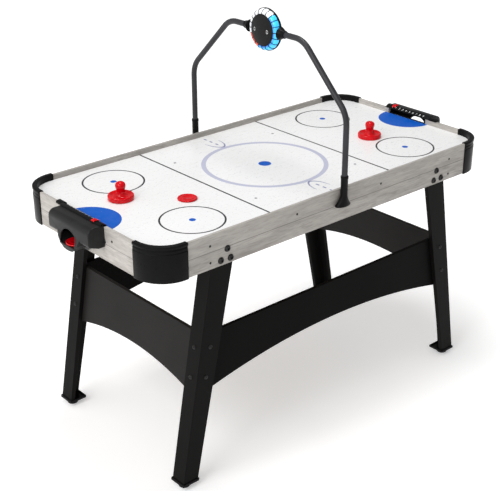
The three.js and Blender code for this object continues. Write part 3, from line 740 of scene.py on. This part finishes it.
def add_prints():
    crease_radius, half_line = 98, 3
    reach, half_y = FIELD_HALF_X - 0.5, FIELD_HALF_Y - 0.5
    bars = [rectangle(x - half_line, -half_y, x + half_line, half_y) for x in (-252, 252)]
    printed("print_zone_lines", bars, DARK_INK)
    printed_rings("print_face_off_rings", four(*FACE_OFF), 97, 5.5, DARK_INK)
    printed_rings("print_centre_ring", [(0, 0)], 203, 15, RING_INK)
    spots = [circle(10, 40, c) for c in four(*FACE_OFF)] + [circle(20.5, 64)]
    printed("print_blue_spots", spots, BLUE_INK)
    printed("print_small_dots", [circle(4.5, 24, c) for c in four(211, 195)], DOT_INK_AND_HOLE_SHADE)
    creases = [
        arc((-reach, 0), crease_radius, -90, 90, 64),
        arc((reach, 0), crease_radius, 90, 270, 64),
    ]
    printed("print_creases", creases, BLUE_INK)
    printed("print_arrows", arrow_outlines(-1) + arrow_outlines(1), ARROW_INK)


def add_air_holes():
    """The rows of small air holes, as dark discs of painted shade just proud of the print; no holes
    are cut.
    """
    pitch, radius, margin = 25.4, 0.65, 12
    levels = (SURFACE - 0.2, PRINT[1] + 0.03)
    columns, rows = int(FIELD_HALF_X / pitch), int(FIELD_HALF_Y / pitch)
    corner = CORNER_RADIUS - PANEL
    holes = []
    for i in range(-columns + 1, columns):
        for k in range(-rows + 1, rows):
            x, y = i * pitch, k * pitch
            over_x = max(abs(x) - FIELD_HALF_X + corner, 0)
            over_y = max(abs(y) - FIELD_HALF_Y + corner, 0)
            if Vector((over_x, over_y)).length < corner - margin:
                holes.append(prism(circle(radius, 8, (x, y)), *levels))
    make("air_holes", holes, DOT_INK_AND_HOLE_SHADE)


def screw_head(radius, height):
    """A domed head with a cross pressed into it, facing +Z."""
    profile = [(0, -1), (radius, -1), (radius, height * 0.25), (radius * 0.9, height * 0.62)]
    profile += [(radius * 0.66, height * 0.88), (radius * 0.33, height * 0.98), (0, height)]
    head = lathe(profile, 32)
    arm, half = radius * 0.5, radius * 0.13
    slots = []
    for length, width in ((arm, half), (half, arm)):
        outline = rectangle(-length, -width, length, width)
        slots.append(prism(outline, height * 0.35, height + 1))
    return combined(head, (), slots)


def add_panel_screws():
    side_places = [(sx * x, z) for x, z in ((504, 772), (504, 721), (178, 773)) for sx in (-1, 1)]
    end_places = [(-135, 771), (135, 771)]
    head = screw_head(3.6, 1.1)
    for side, sy in SIDES:
        faced = turn(-90 * sy, "X")
        screws = [moved(head, at(x, sy * HALF_WIDTH, z) @ faced) for x, z in side_places]
        make(f"panel_screws_{side}", screws, BOLT)
    for end, sx in ENDS:
        faced = turn(90 * sx, "Y")
        screws = [moved(head, at(sx * HALF_LENGTH, y, z) @ faced) for y, z in end_places]
        make(f"panel_screws_{end}", screws, BOLT)


# ---- Corner caps ----


def cap_section():
    """The cap's wall: how far each point lies outside the cabinet's outer line, and its height."""
    low, high = box_mm("corner_cap_rear_right")
    bottom, top = low.z, high.z
    inner = -PANEL - GAP
    deepest = inner - 2.5
    points = [
        (GAP, bottom), (2.9, bottom), (3.4, top - 25), (2.1, top - 22.5), (2.1, top - 16),
        (0.7, top - 12), (0.7, top - 9.6), (3.6, top - 8.8), (4.2, top - 6), (4.0, top - 1.5),
        (1.8, top), (deepest + 1, top), (deepest, top - 1.2), (deepest, SURFACE + GAP),
        (inner, SURFACE + GAP), (inner, RAIL_TOP + GAP), (GAP, RAIL_TOP + GAP),
    ]
    radii = [0, 1, 1.5, 1, 2, 1.4, 0.8, 1, 2, 2, 1.6, 1, 1, 0.5, 0.5, 0, 0]
    return rounded(points, radii, 3)


def corner_cap():
    """The +X +Y corner's cap: its section follows the rounded corner and thins at both ends."""
    reach, rim = 105 - CORNER_RADIUS, 2.2
    section = cap_section()
    thin = [math.sin(math.pi / 2 * k / 4) for k in range(5)]
    start = [(0, -reach + rim * (1 - math.cos(math.asin(t))), 0.45 + 0.55 * t) for t in thin]
    finish = [(90, -d, t) for _, d, t in reversed(start)]
    # Each station is a corner angle, a distance past the bend and the share of the outside left.
    stations = start + [(a, 0, 1) for a in range(0, 91, 3)] + finish
    centre = Vector((HALF_LENGTH - CORNER_RADIUS, HALF_WIDTH - CORNER_RADIUS))
    rings = []
    for angle, past, share in stations:
        a = math.radians(angle)
        out = Vector((math.cos(a), math.sin(a)))
        along = Vector((-out.y, out.x)) * past
        ring = []
        for u, z in section:
            offset = u * share if u > GAP else u
            drop = 0 if u > -PANEL or z < RAIL_TOP else (1 - share) * 0.8
            p = centre + out * (CORNER_RADIUS + offset) + along
            ring.append((p.x, p.y, z - drop))
        rings.append(ring)
    return loft(rings)


def add_corner_caps():
    cap = corner_cap()
    for corner, sx, sy in CORNERS:
        stand_for(f"corner_cap_{corner}", "moulding", [moved(cap, flipped(sx, sy))], CAP_BLACK)


# ---- Legs and aprons ----


def dress_legs():
    for corner, _, _ in CORNERS:
        dress(f"leg_{corner}", LEG_BOARD, 0.9)
        dress(f"leg_cap_{corner}", BLACK, 0.8)
    for end, _ in ENDS:
        dress(f"{end}_end_apron", END_APRON_BOARD_PAINTED_LIGHT, 0.8)
    for side, _ in SIDES:
        dress(f"{side}_side_apron", SIDE_APRON_BOARD_PAINTED_SHADE, 0.8)


def bolt_head(radius, height, socket):
    """A button head with a hexagonal socket, facing +Z, on a thin washer."""
    steps = 48

    def ring(r, z):
        return [(x, y, z) for x, y in circle(r, steps)]

    def hexagon(r, z):
        out = []
        for k in range(steps):
            angle = TURN * k / steps
            inside = (angle + math.pi / 6) % (math.pi / 3) - math.pi / 6
            reach = r * math.cos(math.pi / 6) / math.cos(inside)
            out.append((reach * math.cos(angle), reach * math.sin(angle), z))
        return out

    washer = ((radius + 1, -1), (radius + 1, 0.6), (radius + 0.6, 1), (radius, 1.02))
    rings = [ring(r, z) for r, z in washer]
    for k in range(1, 7):
        a = math.pi / 2 * k / 6
        shrink = radius * (0.55 + 0.45 * math.cos(a))
        rings.append(ring(shrink, 1 + (height - 1) * math.sin(a)))
    hole = ((socket * 1.06, height), (socket, height - 0.4), (socket, height * 0.35))
    return loft(rings + [hexagon(r, z) for r, z in hole])


LEG_BOLTS = [(443, 747), (467, 717), (432, 716)]
APRON_BOLT_HEIGHTS = (452, 359)
END_BOLT_Y = 299
LEG_LEAN = 0.177  # how far a leg's outer face moves inwards for each millimetre of height


def add_leg_bolts():
    head = bolt_head(9.3, 5.6, 4.2)
    stem = prism(circle(4, 24), -28, 0.5)
    plate_outline = rounded([(422, 706), (474, 706), (466, 756), (422, 756)], 4)
    for corner, sx, sy in CORNERS:
        node = f"leg_bolts_{corner}"
        low, high = box_mm(node)
        inner = abs(low.y if sy > 0 else high.y)
        plate = prism(plate_outline, inner, inner + 3, "XZ", 0.6)
        bodies = [moved(plate, flipped(sx, sy))]
        for x, z in LEG_BOLTS:
            place = at(sx * x, sy * (HALF_WIDTH + 0.1), z) @ turn(-90 * sy, "X")
            bodies += [moved(head, place), moved(stem, place)]
        stand_for(node, "turned", bodies, BOLT)


def leg_outer(z):
    """X of a leg's outer face at a height."""
    return 618.5 - LEG_LEAN * z


def leg_middle(z):
    """X of the middle of a leg's side face at a height."""
    return (leg_outer(z) + (565 - 0.214 * z)) / 2


def add_apron_bolts():
    head = bolt_head(5.6, 3.6, 2.6)
    lean = math.degrees(math.atan(LEG_LEAN))
    for corner, sx, sy in CORNERS:
        bodies = []
        for z in APRON_BOLT_HEIGHTS:
            side_face = at(sx * leg_middle(z), sy * LEG_FACE, z) @ turn(-90 * sy, "X")
            end_face = at(sx * leg_outer(z), sy * END_BOLT_Y, z) @ turn(sx * (90 - lean), "Y")
            bodies += [moved(head, side_face), moved(head, end_face)]
        make(f"apron_bolts_{corner}", bodies, BOLT)


def add_feet():
    corners = [(14, 0), (16.8, 0), (18, 3), (17.6, 9), (17.6, 12.4), (13, 15.4), (7, 15.4)]
    pad_side = rounded(corners, [0, 1.2, 1.6, 0, 2.4, 1.6, 0], 4, False)
    pad_profile = [(0, 0.8), (13, 0.8), *pad_side, (0, 15.4)]
    stem_profile = [(0, 15.2), (6.6, 15.2), (6.6, 15.6), (4, 15.7)]
    for k in range(11):
        z = 16.6 + k * 2
        stem_profile += [(4, z), (3.4, z + 0.7), (3.4, z + 1.1), (4, z + 1.8)]
    stem_profile += [(3.2, 39), (0, 39)]
    for corner, _, _ in CORNERS:
        node, body = f"leveler_foot_{corner}", f"foot_{corner}"
        centre = middle_mm(node)
        place = at(centre.x, centre.y)
        stand_for(node, "pad", [moved(lathe(pad_profile, 56), place)], RUBBER, body)
        make(f"{node}_stem", [moved(lathe(stem_profile, 40), place)], BOLT, body)


# ---- Arch ----

ARCH = {"y": 352, "foot": 764, "shoulder": 1036, "top": 1221, "eaves": 166, "bend": 80, "tube": 9}


def arch_path():
    """Points along one tube's centre line, from its foot to the scorer, on the -Y side."""
    reach = abs(box_mm("arch_tube_front")[1].y)
    y, top = ARCH["y"], ARCH["top"]
    corners = [(-y, ARCH["foot"]), (-y, ARCH["shoulder"]), (-ARCH["eaves"], top), (-reach, top)]
    line = rounded(corners, ARCH["bend"], 16, closed=False)
    return [Vector((0, y, z)) for y, z in line]


def bracket_body():
    """A flared foot, flat against the panel, drawn in to a round sleeve with a beaded mouth."""
    low, high = box_mm("arch_bracket_front")
    bottom, top = low.z, high.z
    back = high.y if high.y < -HALF_WIDTH else -HALF_WIDTH - GAP
    sleeve, flare_height, flare_steps = 10.9, 36, 18
    turned = circle(1, 48)
    rings = []
    for k in range(flare_steps + 1):
        z = bottom + flare_height * (k / flare_steps)
        ease = (1 - k / flare_steps) ** 1.6
        foot = 1.0 if k else 0.93
        half_x = sleeve + 19.8 * ease
        half_y = sleeve + 5.6 * ease
        centre_y = -ARCH["y"] + 4 * ease
        limit = back if z < RAIL_TOP else 0
        rings.append([
            (half_x * foot * c, min(centre_y + half_y * foot * s, limit), z) for c, s in turned
        ])
    bead = [(0, top - 9), (0.9, top - 8.2), (0.9, top - 1.6), (0.3, top - 0.3), (-0.6, top)]
    for grow, z in bead:
        reach = sleeve + grow
        rings.append([(reach * c, -ARCH["y"] + reach * s, z) for c, s in turned])
    return loft(rings)


def add_arch():
    tube_body = sweep(circle(ARCH["tube"], 40), arch_path())
    foot = bracket_body()
    for side, sy in SIDES:
        place = flipped(1, -sy)
        stand_for(f"arch_tube_{side}", "bent", [moved(tube_body, place)], STEEL)
        stand_for(f"arch_bracket_{side}", "moulding", [moved(foot, place)], BLACK, crease=50)


# ---- Scorer ----
# Its parts are worked out as radius, clock angle seen from the front, and height to the front (-X).

WINDOWS = 20
FIRST_WINDOW = 36
WINDOW_COLOURS = (
    (FIRST_WINDOW, 198, "cyan", CYAN), (198, 252, "red", WINDOW_RED), (252, 396, "clear", CLEAR),
)


def dial(radius, clock, height):
    """A point of the scorer, at a clock angle in degrees from the top as the player sees it."""
    a = math.radians(clock)
    return SCORER_CENTRE + Vector((-height, -radius * math.sin(a), radius * math.cos(a)))


def dial_turned(profile, wrap=False, steps=96):
    """A body turned about the scorer's axis from points of radius and height."""
    rings = [[dial(r, 360 * k / steps, h) for r, h in profile] for k in range(steps)]
    return loft(rings, loop=True, wrap=wrap)


def window(clock, width):
    """One block of the lit cone, a little domed."""
    outer = [
        (49, 13.2), (52.3, 13.6), (55.6, 12.6), (58.6, 10.2), (61, 6.8), (62.6, 2.8), (63.3, -0.6),
        (63.4, -2.6),
    ]
    rings = []
    for k in range(7):
        share = k / 6
        dome = 0.9 * math.sin(math.pi * share)
        ring = [(49, 9.4)]
        for j, (r, h) in enumerate(outer):
            ring.append((r + dome * j / 7 * 0.6, h + dome * math.sin(math.pi * j / 7)))
        ring.append((60.4, -2.6))
        rings.append([dial(r, clock + width * (share - 0.5), h) for r, h in ring])
    return loft(rings)


def rib(clock):
    """A dark fin between two windows."""
    outline = [
        (48.2, 9), (48.2, 14.2), (49, 14.7), (52.5, 14.9), (56.2, 13.8), (59.4, 11.2), (62, 7.5),
        (63.7, 3.2), (64.4, -0.5), (64.5, -2.8), (60, -2.8),
    ]
    rings = [[dial(r, clock + math.degrees(d / 55), h) for r, h in outline] for d in (-0.85, 0.85)]
    return loft(rings)


def face_height(radius):
    """The dome of the front cover."""
    return 20 - 5.4 * (radius / 46.4) ** 2.2


def digit_zero(y, size):
    """Six lit bars of a seven segment nought on the front cover."""
    half_w, half_h, pen = size * 0.3, size * 0.5, size * 0.13
    bars = []
    for sy in (-1, 1):
        bars.append((0, sy * half_h, half_w - pen * 0.5, pen / 2))
        for sx in (-1, 1):
            bars.append((sx * half_w, sy * half_h / 2, pen / 2, half_h / 2 - pen * 0.6))
    bodies = []
    for cx, cz, hx, hz in bars:
        outline = rounded(rectangle(cx - hx, cz - hz, cx + hx, cz + hz), pen * 0.3, 2)
        rings = []
        for lift in (-0.6, 0.25):
            ring = []
            for u, up in outline:
                height = face_height(math.hypot(y + u, up)) + lift
                ring.append(SCORER_CENTRE + Vector((-height, y + u, up)))
            rings.append(ring)
        bodies.append(loft(rings))
    return bodies


def scorer_shell():
    """The dished back of the scorer, with a rolled rim."""
    rim = 65.5
    outside = [
        (0, -24), (12, -23.8), (24, -22.9), (34, -21.4), (44, -19.6), (52, -17.6), (58.5, -15),
        (63, -12), (65, -9.4), (rim, -7.4), (rim, -5), (rim - 0.3, -3.5),
    ]
    inside = [
        (rim - 1.1, -2.8), (rim - 2.1, -2.8), (rim - 2.9, -3.4), (rim - 3.1, -5), (rim - 3.7, -8),
        (57, -12.4), (48, -17.4), (29, -21), (0, -21.4),
    ]
    return dial_turned(outside + inside)


def scorer_socket(side):
    """The flared socket for one arch tube, cut away where it would come through the windows."""
    profile = [
        (0, 55), (20.5, 55), (20.5, 65), (19, 69), (16.6, 73.5), (14.2, 78), (12.6, 83), (12, 88.4),
        (11.4, 89.8), (9.4, 90), (9.4, 72), (0, 72),
    ]
    socket = moved(lathe(profile, 48), at(*SCORER_CENTRE) @ turn(-90 * side, "X"))
    front = rectangle(-40, side * 60 - 8, 1, side * 60 + 8)
    return combined(socket, (), [prism(front, SCORER_CENTRE.z - 40, SCORER_CENTRE.z + 40)])


def scorer_face():
    radii = [0, 6, 12, 18, 24, 30, 35, 39.5, 43, 45.6]
    dome = [(r, face_height(r)) for r in radii]
    edge = [(46.7, 14.2), (47.2, 13.2), (47.2, 4)]
    back = [(45, 4), (45, 12.4), (37, 15), (20, 16.6), (0, 17)]
    return dial_turned(dome + edge + back)


def add_scorer():
    housing = [scorer_shell(), scorer_socket(-1), scorer_socket(1)]
    stand_for("scorer_rear_housing", "shell", housing, BLACK, crease=42)

    step = 360 / WINDOWS
    for start, end, name, surface in WINDOW_COLOURS:
        count = round((end - start) / step)
        blocks = [window(start + step * (i + 0.5), step - 1.9) for i in range(count)]
        nodes = ["scorer_light_ring"] if start == FIRST_WINDOW else []
        make(f"scorer_windows_{name}", blocks, surface, nodes=nodes)
    ribs = [rib(FIRST_WINDOW + step * i) for i in range(WINDOWS)]
    seat = [(47.4, 1), (61.4, -4.6), (61.4, -2.9), (49.4, 8.8), (48.9, 13.4), (47.4, 13.8)]
    make("scorer_ribs", [dial_turned(seat, wrap=True), *ribs], BLACK)

    make("scorer_front_face", [scorer_face()], FACE_BLACK, nodes=["scorer_front_cover"])
    make("scorer_digits", digit_zero(28, 9.5) + digit_zero(-28, 9.5), NUMERAL)
    dress("scorer_circuit_board", BOARD_GREEN)


# ---- Goal ends ----
# Each is worked out at the +X end, with X measured outwards from the end panel.

GOAL = {
    "half": 101, "reach": 55, "top": 810, "knee": 756, "skirt": 744, "foot": 22, "wall": 3,
    "mouth": 83, "round": 20,
}
SPOUT = {
    "reach": 61, "floor": 731.7, "lean_from": 738, "lean": 8 / 36, "opening": 36,
    "opening_top": 780,
}
LINER = GAP + 0.25  # where the hollows start, just outside the back of the hood


def hood_outline(less):
    """The hood seen from the side, moved inwards by `less`."""
    g = GOAL
    start = LINER if less else GAP
    reach, top, skirt = g["reach"] - less, g["top"] - less, g["skirt"] + less
    points = [
        (start, skirt), (g["foot"] - less / 3, skirt), (reach, g["knee"] + less / 2),
        (reach, top), (start, top),
    ]
    return rounded(points, [0, 5, 10, g["round"] - less, 0], 8)


def two_sided(half):
    """A closed outline from its +Y half, listed from the top down."""
    return half + [(-y, z) for y, z in reversed(half)]


def before_scoop(less):
    """All that lies outside the leaning front of the return scoop, moved inwards by `less`."""
    front, low, height = SPOUT["reach"] - less, SPOUT["lean_from"], 60
    outline = rectangle(front, low, front + 30, low + height)
    outline[3] = (front - height * SPOUT["lean"], low + height)
    return prism(outline, -80, 80, "XZ")


def return_outline(grow=0.0):
    """The opening that pucks are taken from: a flat floor, straight sides and a round top."""
    s = SPOUT
    shoulder = s["opening_top"] - 28
    half, rise = s["opening"] + grow, 28 + grow
    points = [(-half, s["floor"] - grow), (half, s["floor"] - grow)]
    for k in range(25):
        a = math.pi * k / 24
        points.append((half * math.cos(a), shoulder + rise * math.sin(a)))
    return points


def goal_box():
    """A hood with ears flat on the end panel, a mouth for pucks and a scoop to take them from."""
    s, g = SPOUT, GOAL
    hood = prism(hood_outline(0), -g["half"], g["half"], "XZ", 2.4, 4)
    front = two_sided([(60, 774), (54, 757), (46, 741), (35, 727), (20, 718), (8, 716)])
    front = rounded(front, 6, 3)
    scoop = combined(prism(front, GAP, s["reach"], "YZ", 2.6, 4), (), [before_scoop(0)])
    ears = [(101, 805), (101, 772), (106, 757), (84, 745), (68, 729), (36, 719), (14, 704)]
    plate = prism(rounded(two_sided(ears), 3, 3), GAP, GAP + 4, "YZ", 1.2)
    wall = g["wall"]
    hollow = prism(hood_outline(wall), -g["half"] + wall, g["half"] - wall, "XZ")
    inside = two_sided([(57, 774), (51, 758), (43.2, 742), (36, s["floor"])])
    inside = prism(inside, LINER, s["reach"] - wall, "YZ")
    pocket = combined(inside, (), [before_scoop(wall)])
    opening = prism(return_outline(), 20, s["reach"] + 2, "YZ")
    slot = prism(rectangle(-5, SURFACE, 6, g["top"] - wall), -g["mouth"], g["mouth"], "XZ")
    return combined(hood, [scoop, plate], [hollow, pocket, opening, slot])


def return_bead():
    """The rolled lip round the return opening."""
    outline = [Vector((y, z)) for y, z in return_outline(2)]
    s = SPOUT
    rings = []
    for i, p in enumerate(outline):
        along = (outline[(i + 1) % len(outline)] - outline[i - 1]).normalized()
        out = Vector((along.y, -along.x))
        ring = []
        for c, rise in circle(1.7, 12):
            q = p + out * c
            face = s["reach"] - 0.6 - max(0, q.y - s["lean_from"]) * s["lean"]
            ring.append((max(face, GOAL["reach"] - 0.6) + rise * 0.7, q.x, q.y))
        rings.append(ring)
    return loft(rings, loop=True)


STRIP = [(-10, 805.3), (-10, 807.5), (3, 815), (12, 815), (16, 810.3), (0, 810.3), (0, 805.3)]


def strip_body():
    """The bar with a slanted face over the goal's mouth, and the ridge for the score marker."""
    outline = rounded(STRIP, [0.6, 0.8, 1.2, 1.2, 0.8, 0, 0], 4)
    return prism(outline, -GOAL["half"], GOAL["half"], "XZ", 1.2)


def numeral_bodies():
    """The figures 0 to 9 in a row on the strip's face, read from the middle of the table."""
    size, spacing = 10.5, 15.8
    slope = Vector((13, 0, 7.5)).normalized()
    inward = Vector((-7.5, 0, 13)).normalized()
    across = Vector((0, -1, 0))
    base = Vector((-3.5, 0, 811.25)) + inward * 0.05
    bodies = []
    for value in range(10):
        text = bpy.data.curves.new("figure", "FONT")
        text.body = str(value)
        text.size = size
        text.align_x = "CENTER"
        text.align_y = "CENTER"
        text.extrude = 0.18
        text.resolution_u = 6
        holder = bpy.data.objects.new("figure", text)
        bpy.context.scene.collection.objects.link(holder)
        shown = holder.evaluated_get(bpy.context.evaluated_depsgraph_get())
        mesh = shown.to_mesh()
        middle = base + across * ((value - 4.5) * spacing)
        points = [
            middle + across * v.co.x + slope * v.co.y + inward * v.co.z for v in mesh.vertices
        ]
        bodies.append((points, [tuple(p.vertices) for p in mesh.polygons]))
        shown.to_mesh_clear()
        bpy.data.objects.remove(holder)
        bpy.data.curves.remove(text)
    return bodies


def slider_body(centre):
    """The score marker: a saddle over the strip's ridge with a raised grip along its top."""
    ridge = [(-5, 810.4), (3, 815), (12, 815), (13.5, 813.2)]
    flat = [Vector(p) for p in ridge]
    normals = [Vector((-(b - a).y, (b - a).x)).normalized() for a, b in zip(flat, flat[1:])]

    def offset(distance):
        out = []
        for i, p in enumerate(flat):
            a, b = normals[max(i - 1, 0)], normals[min(i, len(normals) - 1)]
            out.append(p + (a + b) * (distance / (1 + a.dot(b))))
        return out

    outline = rounded(offset(0.5) + offset(3.5)[::-1], [0.3, 0, 0, 0.3, 1.4, 2, 2, 1.4], 4)
    saddle = prism(outline, centre - 7.5, centre + 7.5, "XZ", 1.0)
    grip_outline = rounded([(4.5, 817.5), (10.5, 817.5), (9.6, 820.4), (5.4, 820.4)], 1, 3)
    return [saddle, prism(grip_outline, centre - 2, centre + 2, "XZ", 0.8)]


def sensor_body():
    """The small cover beside the strip, on the -Y side of the +X end."""
    points = [(-11, 805.3), (-11, 810.5), (-7, 814), (4, 814), (8, 810), (8, 805.3)]
    outline = rounded(points, [0, 2, 3, 4, 2, 0], 4)
    return prism(outline, -GOAL["half"] - 32, -GOAL["half"] - GAP, "XZ", 1.2, 4)


def add_goal_ends():
    box_body, bead, strip = goal_box(), return_bead(), strip_body()
    figures, sensor = numeral_bodies(), sensor_body()
    for end, sx in ENDS:
        place = at(sx * HALF_LENGTH) @ turn(180 if sx < 0 else 0, "Z")
        box_and_lip = [moved(box_body, place), moved(bead, place)]
        stand_for(f"goal_box_{end}", "moulding", box_and_lip, GOAL_BLACK_PAINTED_SHEEN, crease=32)
        stand_for(f"score_strip_{end}", "moulding", [moved(strip, place)], BLACK)
        make(f"score_figures_{end}", [moved(b, place) for b in figures], NUMERAL)
        stand_for(f"goal_sensor_{end}", "cover", [moved(sensor, place)], BLACK)
        node = f"score_slider_{end}"
        marker = [moved(b, place) for b in slider_body(abs(middle_mm(node).y))]
        stand_for(node, "marker", marker, RED, f"slider_{end}")


# ---- Mallets and pucks ----


def mallet_profile():
    """Radius and height from the underside up: a dished base with a rolled rim, a waist, a knob."""
    underside = [(0, 7.5), (30, 6.5), (32.5, 5.5), (33.4, 0.6), (34, 0)]
    rim = [(34, 0), (38.6, 0), (39.5, 3), (39.5, 12), (37.6, 15.6), (33.5, 14.6), (29, 11)]
    rim = rounded(rim, [0.4, 1, 1.5, 3, 2, 2.5, 4], 5, False)
    dish = [(26, 10), (22, 10.2), (19, 11.4), (16.2, 13.8), (14, 17.4), (12.8, 22), (12.7, 27)]
    knob = [(13.5, 32.5), (14.9, 37.5), (15.8, 42), (15.6, 46), (14, 50), (11, 53), (7, 54.9)]
    return underside + rim + dish + knob + [(3, 55.4), (0, 55.5)]


def puck_profile():
    """Radius and height of a disc with a rounded edge and a shallow ridge in its face."""
    edge = [(28.6, 0), (30, 1.4), (30, 3.6), (28.6, 5), (26, 5)]
    edge = rounded(edge, [0.5, 0.8, 0.8, 0.6, 0.5], 3, False)
    ridges = [(25.2, 4.4), (18, 4.3), (17.4, 4.7), (15.8, 4.7), (15.2, 4.3), (0, 4.3)]
    return [(0, 0.6), (24, 0.6), (25, 0), *edge, *ridges]


def add_play_pieces():
    mallet, puck = lathe(mallet_profile(), 96), lathe(puck_profile(), 96)
    pad = lathe([(0, 0.05), (32.6, 0.05), (33.1, 0.5), (32.6, 5.2), (0, 6.2)], 72)
    for end, _ in ENDS:
        node = f"mallet_{end}"
        stand_for(node, "moulding", [moved(mallet, under(node))], RED, node)
        make(f"{node}_felt", [moved(pad, under(node))], FELT, node)
    for node, body in (("puck_on_table", "table_puck"), ("puck_in_return", "return_puck")):
        stand_for(node, "disc", [moved(puck, under(node))], RED, body)


# ---- Blower ----


def dress_blower():
    for node in ("blower_housing", "blower_grille", "switch_bezel"):
        dress(node, BLACK, 0.5)
    dress("blower_impeller", BLACK)
    dress("blower_motor", MOTOR)
    dress("power_jack", BOLT)
    dress("switch_rocker", RED, 0.3)


# ---- Scene ----


def add_floor():
    """A wide flat floor, a hair below the feet."""
    half, drop = 30 / MM, 0.3
    corners = [(x, y, -drop) for x, y in rectangle(-half, -half, half, half)]
    mesh = mesh_of([(corners, [(0, 1, 2, 3)])], "floor", MM)
    floor = bpy.data.objects.new("floor", mesh)
    bpy.context.scene.collection.objects.link(floor)
    mesh.materials.append(studio_floor().material)


add_camera()
add_studio()
add_floor()
dress_cabinet()
add_prints()
add_air_holes()
add_panel_screws()
add_corner_caps()
dress_legs()
add_leg_bolts()
add_apron_bolts()
add_feet()
add_arch()
add_scorer()
add_goal_ends()
add_play_pieces()
dress_blower()
